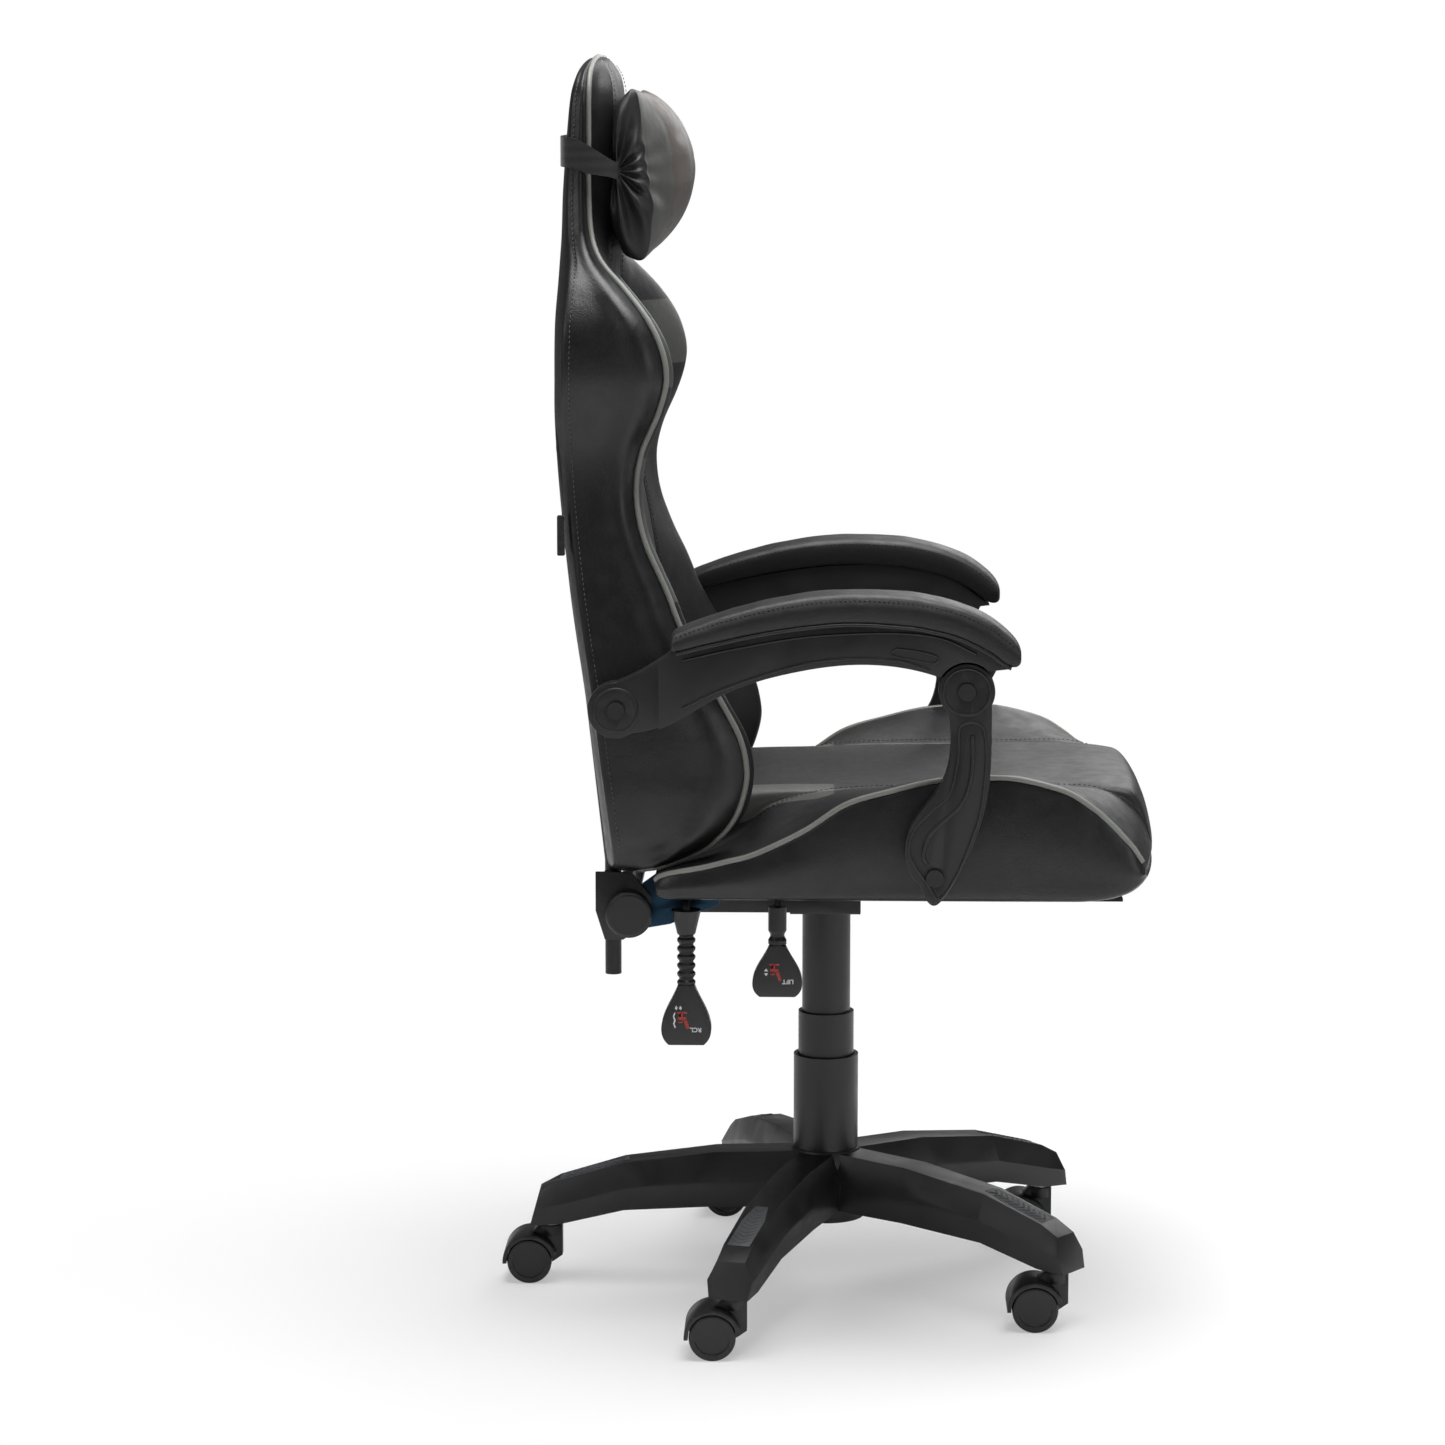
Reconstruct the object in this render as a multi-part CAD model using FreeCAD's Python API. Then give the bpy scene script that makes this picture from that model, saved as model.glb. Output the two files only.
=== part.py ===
# Gaming chair: five-arm caster base, gas column, bucket seat, reclining back, linked arms.
# Millimetres. +X is the way the sitter faces, +Y is the sitter's left, +Z is up.
# The origin is on the column axis, at the floor.
import FreeCAD, Part
import math
import os

V = FreeCAD.Vector

# ---- clearances -------------------------------------------------------------
running = 0.05        # radial gap of a shaft that turns or slides in its bore
soft_gap = 0.4        # gap between a soft piece and its neighbour
side_gap = 1.0        # gap between plates that pass each other
open_gap = 2.0        # radial gap at the arm knuckle, the one open pivot of the arm linkage

# ---- caster base ------------------------------------------------------------
arm_count = 5
first_arm_angle = 180.0   # one arm points straight back
stem_circle = 285.0       # radius of the circle that the caster stems stand on
arm_tip_overhang = 21.0   # arm beyond its stem
arm_tip_top = 100.0       # heights of the arm's upper line, tip to hub
arm_shoulder_top = 127.0
hub_top = 143.0
arm_tip_bottom = 60.0     # heights of the arm's lower line, tip to hub
arm_shoulder_bottom = 78.0
hub_bottom = 70.0
hub_radius = 40.0
arm_tip_width = 46.0
arm_root_width = 58.0
arm_top_share = 0.62      # widths of the arm's upper and lower faces over the width at its crease
arm_bottom_share = 0.86
arm_crease_share = 0.48   # height of the crease along each side of the arm
arm_wall = 4.5
insert_length = 84.0      # grey ribbed insert on each arm
insert_thickness = 2.0

wheel_radius = 23.0
wheel_width = 17.5
wheel_trail = 21.5        # stem axis to wheel axle
wheel_round = 2.5
wheel_gap = 0.8           # wheel to fork web and hood
fork_web = 15.0
hood_thickness = 4.0
stem_radius = 5.5
stem_grip = 24.0          # length of the stem in the arm
fork_top = 57.5
fork_boss_radius = 12.0
axle_radius = 3.0

# ---- gas column -------------------------------------------------------------
tube_radius = 22.0
tube_top = 262.0
tube_wall = 3.0
cylinder_radius = 14.0
cylinder_overlap = 90.0   # length of the cylinder inside the tube at rest
piston_rod_radius = 5.0
cover_wall = 1.6
cover_upper_radius = 24.7
cover_middle_radius = 28.5
cover_lower_radius = 33.2
cover_lower_top = 241.0
cover_middle_top = 286.0
cover_overlap = 12.0      # each cover inside the next at rest
cover_lip = 2.0
button_radius = 5.0
button_stand = 6.7        # gas button above the cylinder

# ---- seat, heights above its underside --------------------------------------
recline_x = -193.5        # recline axis, which the rear of the seat is laid out from
deck = 445.0              # underside of the seat above the floor
frame_bar = 22.0          # square tube of the seat frame
frame_wall = 2.0
frame_half_width = 190.0
frame_back = -160.0
frame_front = 270.0
frame_lift = 2.0          # frame above the underside
seat_half_width = 248.0
pad_half_width = 151.5    # centre pads of seat and back
side_wall = 22.0          # upholstered wall outside the frame
pad_back = -146.0
pad_front = 330.0
pad_top = 98.0
board_thickness = 3.0
board_back = recline_x + 43.5   # clear of the recliner plates

plate_front = 34.5
plate_back = recline_x + 28.5
plate_half_width = 85.0
plate_sheet = 4.0
plate_drop = 41.0         # lower face of the pressed plate under the deck
housing_drop = 47.0       # lower face of the socket housing under the deck
housing_back = -37.0
socket_radius = 21.0
socket_height = 18.0
plate_bolt_radius = 4.0

# ---- levers -----------------------------------------------------------------
lever_rod_radius = 4.0
lift_lever_x = -48.0
lift_lever_side = 200.0   # distance of the hanging grip from the middle of the chair
lift_rod_drop = 18.0      # rod axis under the deck
lift_paddle_top = 51.0    # drops under the deck
lift_paddle_bottom = 102.0
recline_lever_x = recline_x + 56.5
recline_lever_side = 212.0
recline_rod_drop = 8.0
recline_paddle_top = 88.0
recline_paddle_bottom = 148.0
paddle_half_width = 24.5
paddle_thickness = 13.0
bellows_radius = 9.0
bellows_waist = 7.0
bellows_pitch = 7.5

# ---- recliner ---------------------------------------------------------------
recline_drop = 20.0       # recline axis under the deck
recliner_plate = 4.0
recliner_rod_radius = 6.0
recliner_cap_radius = 23.0
recliner_cap_depth = 14.0

# ---- back, heights above the deck -------------------------------------------
# height, rear face, front edge of the bolster, half width
back_stations = [
    (21.0, -222.0, -172.0, 206.0),
    (42.0, -224.0, -123.0, 216.0),
    (76.0, -228.0, -91.0, 226.0),
    (118.0, -233.0, -79.0, 229.0),
    (195.0, -242.0, -106.0, 228.0),
    (290.0, -255.0, -154.0, 216.0),
    (405.0, -267.0, -187.0, 200.0),
    (470.0, -269.0, -165.0, 214.0),
    (515.0, -270.0, -157.0, 229.0),
    (585.0, -267.0, -192.0, 216.0),
    (632.0, -264.0, -229.0, 172.0),
]
# height, rear face, front face, half width
head_stations = [
    (632.5, -264.0, -218.0, 172.0),
    (665.0, -263.0, -214.0, 158.0),
    (770.0, -257.0, -214.0, 158.0),
    (795.0, -252.0, -219.0, 138.0),
    (808.0, -244.0, -228.0, 92.0),
]
# height, front face of the centre pad of the back
back_pad_stations = [(24.0, -150.0), (120.0, -152.0), (300.0, -182.0), (460.0, -206.0), (585.0, -225.0),
                     (631.0, -226.0)]
cover_depth = 24.0        # rear shell, which holds the tube frame
shell_wall = 6.0
back_tube_radius = 8.0
back_tube_wall = 1.5
back_tube_bend = 22.0
lug_reach = 29.0          # arm lug pocket behind the arm pivot
back_tube_side = 180.0
back_tube_inset = 12.0    # tube axis in front of the rear face
back_tube_bottom = -84.0
back_tube_top = 745.0
back_tie_height = 60.0
head_tube_side = 118.0
window_low = 75.0
window_high = 560.0

pillow_low = 607.0
pillow_high = 781.0
pillow_half_width = 150.0
pillow_depth = 73.0
strap_low = 702.0
strap_width = 30.0
strap_thickness = 1.5

# ---- arms -------------------------------------------------------------------
arm_pivot = (-203.0, 189.5)        # rear pivot on the back: x, height above the deck
knuckle_pivot = (133.5, 210.0)     # front pivot
upright_pivot = (104.0, 29.3)      # foot of the upright on the seat side
arm_pad_inner = seat_half_width - 17.5
arm_pad_outer = arm_pad_inner + 57.5
arm_web_inner = seat_half_width - 8.0
arm_web_outer = arm_web_inner + 11.5
arm_body_outer = arm_web_outer + 24.5
arm_lobe_radius = 27.0
arm_lobe_outer = arm_web_outer + 10.5
upright_inner = arm_web_outer + side_gap
upright_outer = upright_inner + 20.0
knuckle_radius = 27.0
pivot_bolt_radius = 6.0
pivot_head_radius = 8.5
pivot_head_depth = 3.0


# ---- construction helpers ---------------------------------------------------
def box(x0, x1, y0, y1, z0, z1):
    return Part.makeBox(x1 - x0, y1 - y0, z1 - z0, V(x0, y0, z0))


def rod(radius, start, end):
    start = V(*start)
    run = V(*end) - start
    return Part.makeCylinder(radius, run.Length, start, run)


def post(radius, z0, z1, x=0.0, y=0.0):
    return Part.makeCylinder(radius, z1 - z0, V(x, y, z0))


def sleeve(outer, inner, z0, z1):
    return post(outer, z0, z1).cut(post(inner, z0 - 1, z1 + 1))


def pin(radius, x, z, y0, y1):
    return rod(radius, (x, y0, z), (x, y1, z))


def polygon(points):
    corners = [V(*p) for p in points]
    return Part.makePolygon(corners + corners[:1])


def side_plate(outline, y0, y1):
    """Solid with the (x, z) outline, from y0 to y1."""
    face = Part.Face(polygon([(x, y0, z) for x, z in outline]))
    return face.extrude(V(0, y1 - y0, 0))


def smooth_plate(curves, y0, y1):
    """Solid whose (x, z) outline is a closed chain of smooth curves, from y0 to y1."""
    edges = []
    for points in curves:
        places = [V(x, y0, z) for x, z in points]
        if len(places) == 2:
            edges.append(Part.LineSegment(*places).toShape())
        else:
            curve = Part.BSplineCurve()
            curve.interpolate(places)
            edges.append(curve.toShape())
    return Part.Face(Part.Wire(edges)).extrude(V(0, y1 - y0, 0))


def loft(sections):
    return Part.makeLoft([polygon(s) for s in sections], True, True)


def bent_rod(points, radius, bend):
    """Round rod along straight runs, joined by tangent arcs."""
    corners = [V(*p) for p in points]
    edges = []
    start = corners[0]
    for before, corner, after in zip(corners, corners[1:], corners[2:]):
        back_way = (before - corner).normalize()
        on_way = (after - corner).normalize()
        half_turn = (math.pi - back_way.getAngle(on_way)) / 2
        trim = bend * math.tan(half_turn)
        middle_way = (back_way + on_way).normalize()
        arc_start = corner + back_way * trim
        arc_end = corner + on_way * trim
        arc_middle = corner + middle_way * (bend / math.cos(half_turn) - bend)
        edges.append(Part.LineSegment(start, arc_start).toShape())
        edges.append(Part.Arc(arc_start, arc_middle, arc_end).toShape())
        start = arc_end
    edges.append(Part.LineSegment(start, corners[-1]).toShape())
    path = Part.Wire(edges)
    profile = Part.Wire(Part.makeCircle(radius, corners[0], corners[1] - corners[0]))
    return path.makePipeShell([profile], True, True)


def mirrored(shape):
    return shape.mirror(V(0, 0, 0), V(0, 1, 0))


def raised(shape):
    """Pieces of the seat and back are drawn from the deck, then lifted to it."""
    return shape.translated(V(0, 0, deck))


def turned(shape, angle):
    return shape.rotated(V(0, 0, 0), V(0, 0, 1), angle)


def group(shapes):
    return shapes[0] if len(shapes) == 1 else Part.makeCompound(shapes)


def between(stations, height, column):
    """Value of a station column at a height, straight between stations."""
    for low, high in zip(stations, stations[1:]):
        if height <= high[0]:
            share = (height - low[0]) / (high[0] - low[0])
            return low[column] + share * (high[column] - low[column])
    return stations[-1][column]


# ---- base and casters -------------------------------------------------------
arm_angles = [first_arm_angle + 360.0 / arm_count * i for i in range(arm_count)]
arm_tip = stem_circle + arm_tip_overhang
# radius, width at the crease, bottom, top
arm_stations = [
    (hub_radius - 12, arm_root_width, hub_bottom + 13, hub_top - 2),
    (0.37 * arm_tip, arm_root_width - 2, hub_bottom + 13, hub_top - 4),
    (0.68 * arm_tip, arm_root_width - 6, arm_shoulder_bottom, arm_shoulder_top),
    (0.90 * arm_tip, arm_tip_width + 2, arm_tip_bottom + 2, arm_tip_top + 7),
    (arm_tip, arm_tip_width, arm_tip_bottom, arm_tip_top - 4),
]


def arm_section(radius, width, bottom, top, wall=0.0, draft=0.0):
    low = width / 2 * arm_bottom_share - wall
    middle = width / 2 - wall
    high = width / 2 * arm_top_share - wall
    crease = bottom + arm_crease_share * (top - bottom)
    return [(radius, -low, bottom), (radius, low, bottom), (radius - draft * arm_crease_share, middle, crease),
            (radius - draft, high, top), (radius - draft, -high, top), (radius - draft * arm_crease_share, -middle, crease)]


def make_base():
    bodies = [post(hub_radius, hub_bottom, hub_top - 12),
              Part.makeCone(hub_radius, hub_radius - 5, 12, V(0, 0, hub_top - 12))]
    pockets = []
    for angle in arm_angles:
        outer = [arm_section(*s, draft=10.0 if s is arm_stations[-1] else 0.0) for s in arm_stations]
        bodies.append(turned(loft(outer), angle))
        inner = [arm_section(r, w, b - 1, t - 3 * arm_wall, arm_wall) for r, w, b, t in arm_stations[1:4]]
        pockets.append(turned(loft(inner), angle))
    base = bodies[0].multiFuse(bodies[1:]).removeSplitter()
    base = base.cut(group(pockets))
    base = base.cut(make_tube_outline())
    for angle in arm_angles:
        base = base.cut(turned(post(stem_radius, arm_tip_bottom - 5, arm_tip_bottom + stem_grip,
                                    stem_circle), angle))
        base = base.cut(turned(insert_solid(), angle))
    return base


def insert_solid():
    """Thin grey pad let into the upper face of one arm."""
    inner = arm_stations[2]
    outer = arm_stations[3]
    end_radius = outer[0] + 12
    start_radius = end_radius - insert_length
    slope = (outer[3] - inner[3]) / (outer[0] - inner[0])

    def ends(radius, top_shift, spread):
        top = inner[3] + slope * (radius - inner[0]) + top_shift
        half = outer[1] / 2 * arm_top_share - spread
        return [(radius, -half, top - insert_thickness), (radius, half, top - insert_thickness),
                (radius, half, top), (radius, -half, top)]
    slab = loft([ends(start_radius, 0.0, 8.0), ends(start_radius + 26, 0.0, 3.0), ends(outer[0], 0.0, 3.0)])
    return slab


def make_tube_outline():
    taper_height = hub_top - hub_bottom
    taper = Part.makeCone(tube_radius - 1.5, tube_radius, taper_height, V(0, 0, hub_bottom))
    return taper.fuse(post(tube_radius, hub_top, tube_top)).removeSplitter()


def make_column_tube():
    bore = post(cylinder_radius + tube_wall, hub_bottom + 6, tube_top + 1)
    rod_hole = post(piston_rod_radius + running, hub_bottom - 1, hub_bottom + 7)
    return make_tube_outline().cut(bore).cut(rod_hole)


def make_column_bushing():
    return sleeve(cylinder_radius + tube_wall, cylinder_radius + running, tube_top - 70, tube_top)


def make_cover(radius, z0, z1, lip):
    cover = sleeve(radius, radius - cover_wall, z0, z1)
    if lip:
        cover = cover.fuse(sleeve(radius, radius - cover_wall - cover_lip, z1 - cover_wall, z1)).removeSplitter()
    return cover


def caster_place(shape, angle):
    """Casters all trail straight back, whatever the angle of their arm."""
    stem = V(stem_circle * math.cos(math.radians(angle)), stem_circle * math.sin(math.radians(angle)), 0)
    return shape.translated(stem)


def make_stems():
    stem = post(stem_radius, fork_top - 30, arm_tip_bottom + stem_grip)
    collar = post(stem_radius + 4, fork_top + 0.5, arm_tip_bottom)
    return group([caster_place(stem.fuse(collar).removeSplitter(), a) for a in arm_angles])


def make_fork():
    half_web = fork_web / 2
    half_hood = half_web + wheel_gap + wheel_width
    hood_inner = wheel_radius + wheel_gap
    hood_outer = hood_inner + hood_thickness
    web = pin(wheel_radius - 6, -wheel_trail, wheel_radius, -half_web, half_web)
    web = web.fuse(side_plate([(-wheel_trail, 8), (2, 19), (fork_boss_radius, 26), (fork_boss_radius, fork_top),
                               (-fork_boss_radius, fork_top), (-wheel_trail - 6, hood_outer + 14)],
                              -half_web, half_web))
    hood = pin(hood_outer, -wheel_trail, wheel_radius, -half_hood, half_hood)
    hood = hood.cut(pin(hood_inner, -wheel_trail, wheel_radius, -half_hood - 1, half_hood + 1))
    keep = side_plate([(-wheel_trail + 8, wheel_radius), (4, wheel_radius + 6), (fork_boss_radius, wheel_radius + 12),
                       (fork_boss_radius, fork_top), (-wheel_trail - 45, fork_top), (-wheel_trail - 45, 20)],
                      -half_hood, half_hood)
    hood = hood.common(keep)
    boss = post(fork_boss_radius, wheel_radius + hood_inner, fork_top)
    fork = web.multiFuse([hood, boss]).removeSplitter()
    fork = fork.cut(post(stem_radius + running, fork_top - 31, fork_top + 1))
    return fork.cut(pin(axle_radius + running, -wheel_trail, wheel_radius, -half_hood, half_hood))


def make_wheels():
    """Two wheels on one axle."""
    inner = fork_web / 2 + wheel_gap
    axle = pin(axle_radius, -wheel_trail, wheel_radius, -inner - wheel_width + 2, inner + wheel_width - 2)
    wheel = pin(wheel_radius, -wheel_trail, wheel_radius, inner, inner + wheel_width)
    round_edges = [e for e in wheel.Edges if isinstance(e.Curve, Part.Circle)]
    wheel = wheel.makeFillet(wheel_round, round_edges)
    dish = pin(wheel_radius - 6, -wheel_trail, wheel_radius, inner + wheel_width - 1.5, inner + wheel_width + 1)
    wheel = wheel.cut(dish).cut(pin(axle_radius, -wheel_trail, wheel_radius, inner - 1, inner + wheel_width - 2))
    return group([wheel, mirrored(wheel), axle])


# ---- gas spring -------------------------------------------------------------
socket_top = deck - housing_drop + socket_height


def make_cylinder():
    bottom = tube_top - cylinder_overlap
    body = post(cylinder_radius, bottom, socket_top)
    chamber = post(cylinder_radius - 3, bottom + 20, socket_top - 26)
    rod_bore = post(piston_rod_radius + running, bottom - 1, bottom + 21)
    button_bore = post(button_radius + running, socket_top - 27, socket_top + 1)
    return body.cut(chamber).cut(rod_bore).cut(button_bore)


def make_piston_rod():
    head_z = tube_top - cylinder_overlap + 40
    shaft = post(piston_rod_radius, hub_bottom - 6, head_z)
    head = post(cylinder_radius - 3 - running, head_z, head_z + 8)
    foot = post(piston_rod_radius + 5, hub_bottom - 6, hub_bottom - 0.3)
    return shaft.multiFuse([head, foot]).removeSplitter()


def make_button():
    return post(button_radius, socket_top - 20, socket_top + button_stand)


# ---- seat mechanism and frame -----------------------------------------------
def make_plate():
    low = -plate_drop
    high = frame_lift
    sheet = box(plate_back, plate_front, -plate_half_width, plate_half_width, low, low + plate_sheet)
    parts = []
    for side in (-1, 1):
        y0, y1 = sorted((side * plate_half_width, side * (plate_half_width - plate_sheet)))
        parts.append(box(plate_back, plate_front, y0, y1, low, high))
        y0, y1 = sorted((side * plate_half_width, side * (plate_half_width - 27)))
        parts.append(box(plate_back, plate_front, y0, y1, high - 3, high))
    parts.append(box(housing_back, plate_front, -62, 62, -housing_drop, low + plate_sheet))
    parts.append(post(socket_radius, -housing_drop, -housing_drop + socket_height))
    plate = sheet.multiFuse(parts).removeSplitter()
    plate = plate.cut(post(cylinder_radius, -housing_drop - 1, -housing_drop + socket_height + 1))
    plate = plate.cut(rod(lever_rod_radius + 0.6, (lift_lever_x, -plate_half_width - 2, -lift_rod_drop),
                          (lift_lever_x, -plate_half_width + plate_sheet + 2, -lift_rod_drop)))
    for x, y in plate_bolt_places():
        plate = plate.cut(post(plate_bolt_radius + 0.2, high - 4, high + 1, x, y))
    return raised(plate)


def crossbar_places():
    return [plate_back + 56, plate_front - frame_bar / 2]


def plate_bolt_places():
    y = plate_half_width - 14
    return [(x, side * y) for x in crossbar_places() for side in (-1, 1)]


def make_plate_bolts():
    lip = frame_lift
    bolts = []
    for x, y in plate_bolt_places():
        head = post(plate_bolt_radius + 2.5, lip - 8.5, lip - 3, x, y)
        bolts.append(head.fuse(post(plate_bolt_radius, lip - 3, lip + 20, x, y)).removeSplitter())
    return raised(group(bolts))


def square_tube(x0, x1, y0, y1, z0, z1, along):
    """Square tube with plugged ends, along x or y."""
    end = 8.0
    wall_x = end if along == "x" else frame_wall
    wall_y = end if along == "y" else frame_wall
    hollow = box(x0 + wall_x, x1 - wall_x, y0 + wall_y, y1 - wall_y, z0 + frame_wall, z1 - frame_wall)
    return box(x0, x1, y0, y1, z0, z1).cut(hollow)


def make_seat_frame():
    low = frame_lift
    high = frame_lift + frame_bar
    inner = frame_half_width - frame_bar
    bars = [square_tube(frame_back, frame_back + frame_bar, -inner, inner, low, high, "y"),
            square_tube(frame_front - frame_bar, frame_front, -inner, inner, low, high, "y")]
    for x in crossbar_places():
        bars.append(square_tube(x - frame_bar / 2, x + frame_bar / 2, -inner, inner, low, high, "y"))
    for side in (-1, 1):
        y0, y1 = sorted((side * inner, side * frame_half_width))
        bars.append(square_tube(frame_back, frame_front, y0, y1, low, high, "x"))
        y0, y1 = sorted((side * frame_half_width, side * (frame_half_width + 5)))
        x, z = upright_pivot
        bars.append(box(x - 20, x + 20, y0, y1, low, z + 14))
    frame = bars[0].multiFuse(bars[1:]).removeSplitter()
    for x, y in plate_bolt_places():
        frame = frame.cut(post(plate_bolt_radius + running, low - 1, low + 21, x, y))
    return raised(frame.cut(bolt_bore(upright_pivot)))


def bolt_bore(pivot, extra=0.0):
    x, z = pivot
    reach = arm_pad_outer + 20
    return pin(pivot_bolt_radius + extra, x, z, -reach, reach)


def make_seat_webbing():
    top = frame_lift + frame_bar
    reach = frame_half_width - 2
    straps = [box(x, x + 45, -reach, reach, top, top + 1.2)
              for x in (frame_back + 35, frame_back + 120, frame_back + 205, frame_back + 290)]
    return raised(group(straps))


def make_seat_board():
    edge = seat_half_width - side_wall - soft_gap
    half = plate_half_width + 6
    board = box(board_back, frame_front + 18, -edge, edge, -board_thickness + 1.5, 1.5)
    board = board.cut(box(plate_back - 8, plate_front + 8, -half, half, -board_thickness, 2))
    for side in (-1, 1):
        y0, y1 = sorted((side * (lower_plate_inner - 1), side * (lower_plate_inner + recliner_plate + 1)))
        board = board.cut(box(board_back - 1, frame_back + 57, y0, y1, -board_thickness, 2))
    return raised(board)


pad_bottom = frame_lift + frame_bar + 1.6
nose = [(252.0, 98.5), (288.0, 90.0), (310.0, 63.0), (326.0, 36.0), (330.0, 14.0), (320.0, 2.0)]


def make_seat_pad():
    front = pad_front - nose[4][0]
    roll = [(x + front, z * pad_top / nose[0][1]) for x, z in nose]
    edge = frame_front + 20
    outline = [[(edge, 2.0), (edge, pad_bottom)], [(edge, pad_bottom), (pad_back, pad_bottom)],
               [(pad_back, pad_bottom), (pad_back, pad_top - 16)],
               [(pad_back, pad_top - 16), (pad_back + 60, pad_top - 6), (80.0, pad_top - 1), roll[0]],
               roll, [roll[-1], (edge, 2.0)]]
    return raised(smooth_plate(outline, -pad_half_width, pad_half_width))


# x, crest of the piped edge, height where the wing meets the centre pad
wing_stations = [
    (-161.0, 23.0, 17.5),
    (-118.0, 31.0, 33.0),
    (-80.0, 41.0, 47.0),
    (-58.0, 48.0, 76.0),
    (-20.0, 70.0, 90.0),
    (18.0, 95.0, 93.0),
    (60.0, 108.0, 94.0),
    (125.0, 120.0, 96.0),
    (180.0, 121.0, 97.0),
    (223.0, 111.0, 97.0),
    (252.0, 96.0, 95.0),
    (284.0, 68.0, 85.0),
    (301.0, 44.0, 60.0),
]


def make_wing():
    """Left wing of the bucket seat: outer wall and inner slope."""
    inner = pad_half_width + soft_gap
    wall = seat_half_width - side_wall
    sections = []
    for x, crest, meet in wing_stations:
        floor = min(pad_bottom, meet - 4)
        sections.append([(x, inner, floor), (x, wall, floor), (x, wall, 0.0), (x, seat_half_width, 0.0),
                         (x, seat_half_width, crest - 9), (x, seat_half_width - 7, crest), (x, inner, meet)])
    wing = loft(sections)
    x, z = upright_pivot
    wing = wing.cut(box(x - 21, x + 21, frame_half_width - 1, frame_half_width + 6, 0, z + 15))
    wing = wing.cut(box(frame_back - 4, frame_back + 62, inner - 1, wall, -1, pad_bottom))
    return raised(wing.cut(bolt_bore(upright_pivot, soft_gap)))


def make_upright_bolts():
    x, z = upright_pivot
    bolt = pin(pivot_bolt_radius, x, z, frame_half_width - 6, upright_outer + 0.5)
    head = pin(pivot_head_radius, x, z, upright_outer + 0.3, upright_outer + 0.3 + pivot_head_depth)
    collar = pin(pivot_bolt_radius + 4, x, z, seat_half_width + soft_gap, upright_inner - 0.3)
    bolt = bolt.multiFuse([head, collar]).removeSplitter()
    return raised(group([bolt, mirrored(bolt)]))


# ---- recliner ---------------------------------------------------------------
lower_plate_inner = frame_half_width
upper_plate_inner = lower_plate_inner + recliner_plate + side_gap
cap_inner = upper_plate_inner + recliner_plate


def make_recliner_lower():
    x, z = recline_x, -recline_drop
    tail = side_plate([(x, z - 19), (x + 40, z - 12), (frame_back + 55, -12), (frame_back + 55, frame_lift + frame_bar - 2),
                       (frame_back - 2, frame_lift + frame_bar - 2), (x, z + 19)],
                      lower_plate_inner, lower_plate_inner + recliner_plate)
    plate = tail.fuse(pin(19.0, x, z, lower_plate_inner, lower_plate_inner + recliner_plate)).removeSplitter()
    plate = plate.cut(pin(recliner_rod_radius, x, z, 0, 300))
    return raised(plate.cut(pin(lever_rod_radius + running, recline_lever_x, -recline_rod_drop, 0, 300)))


def make_recliner_upper():
    x, z = recline_x, -recline_drop
    top = back_stations[0][0] - soft_gap
    plate = side_plate([(x - 24, z - 27), (x - 6, z - 27), (x + 20, z - 10), (x + 22, z + 16), (x + 2, top), (x - 33, top),
                        (x - 33, z + 2)], upper_plate_inner, upper_plate_inner + recliner_plate)
    tube_x = back_stations[0][1] + back_tube_inset
    ear = box(tube_x - 8, tube_x + 6, back_tube_side + back_tube_radius - 1.5, upper_plate_inner, z + 23, top)
    ear = ear.cut(post(back_tube_radius, z, top + 5, tube_x, back_tube_side))
    plate = plate.fuse(ear).removeSplitter()
    return raised(plate.cut(pin(recliner_rod_radius + running, x, z, 0, 300)))


def make_recliner_cap():
    cap = pin(recliner_cap_radius, recline_x, -recline_drop, cap_inner, cap_inner + recliner_cap_depth)
    outer = [e for e in cap.Edges if isinstance(e.Curve, Part.Circle) and e.Curve.Center.y > cap_inner + 1]
    cap = cap.makeFillet(4.0, outer)
    return raised(cap.cut(pin(recliner_rod_radius + running, recline_x, -recline_drop, cap_inner - 1, cap_inner + 7)))


def make_recliner_rod():
    reach = cap_inner + 6
    return raised(pin(recliner_rod_radius, recline_x, -recline_drop, -reach, reach))


# ---- levers, both on the sitter's right -------------------------------------
def lift_rod_along(end_height, radius):
    z = -lift_rod_drop
    route = [(0, 8, z), (0, -30, z), (lift_lever_x, -plate_half_width + 18, z), (lift_lever_x, -lift_lever_side, z),
             (lift_lever_x, -lift_lever_side, end_height)]
    return raised(bent_rod(route, radius, 8.0))


def make_recline_rod():
    z = -recline_rod_drop
    route = [(recline_lever_x, -frame_half_width + 2, z), (recline_lever_x, -recline_lever_side, z),
             (recline_lever_x, -recline_lever_side, -recline_paddle_bottom + 28)]
    return raised(bent_rod(route, lever_rod_radius, 7.0))


def make_bellows(x, side, top, bottom, mouth_radius):
    """Ribbed rubber sleeve around a lever rod, with a wider mouth on top."""
    mouth_height = 2.6 * bellows_radius
    profile = [(lever_rod_radius, top), (mouth_radius, top), (bellows_radius, top - mouth_height)]
    ribs = int((top - mouth_height - bottom) / bellows_pitch)
    pitch = (top - mouth_height - bottom) / ribs
    for i in range(ribs):
        z = top - mouth_height - i * pitch
        profile += [(bellows_waist, z - 0.25 * pitch), (bellows_waist, z - 0.4 * pitch),
                    (bellows_radius, z - 0.65 * pitch), (bellows_radius, z - 0.9 * pitch)]
    profile += [(bellows_waist, bottom), (lever_rod_radius, bottom)]
    face = Part.Face(polygon([(x + r, -side, z) for r, z in profile]))
    return raised(face.revolve(V(x, -side, 0), V(0, 0, 1), 360))


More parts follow.
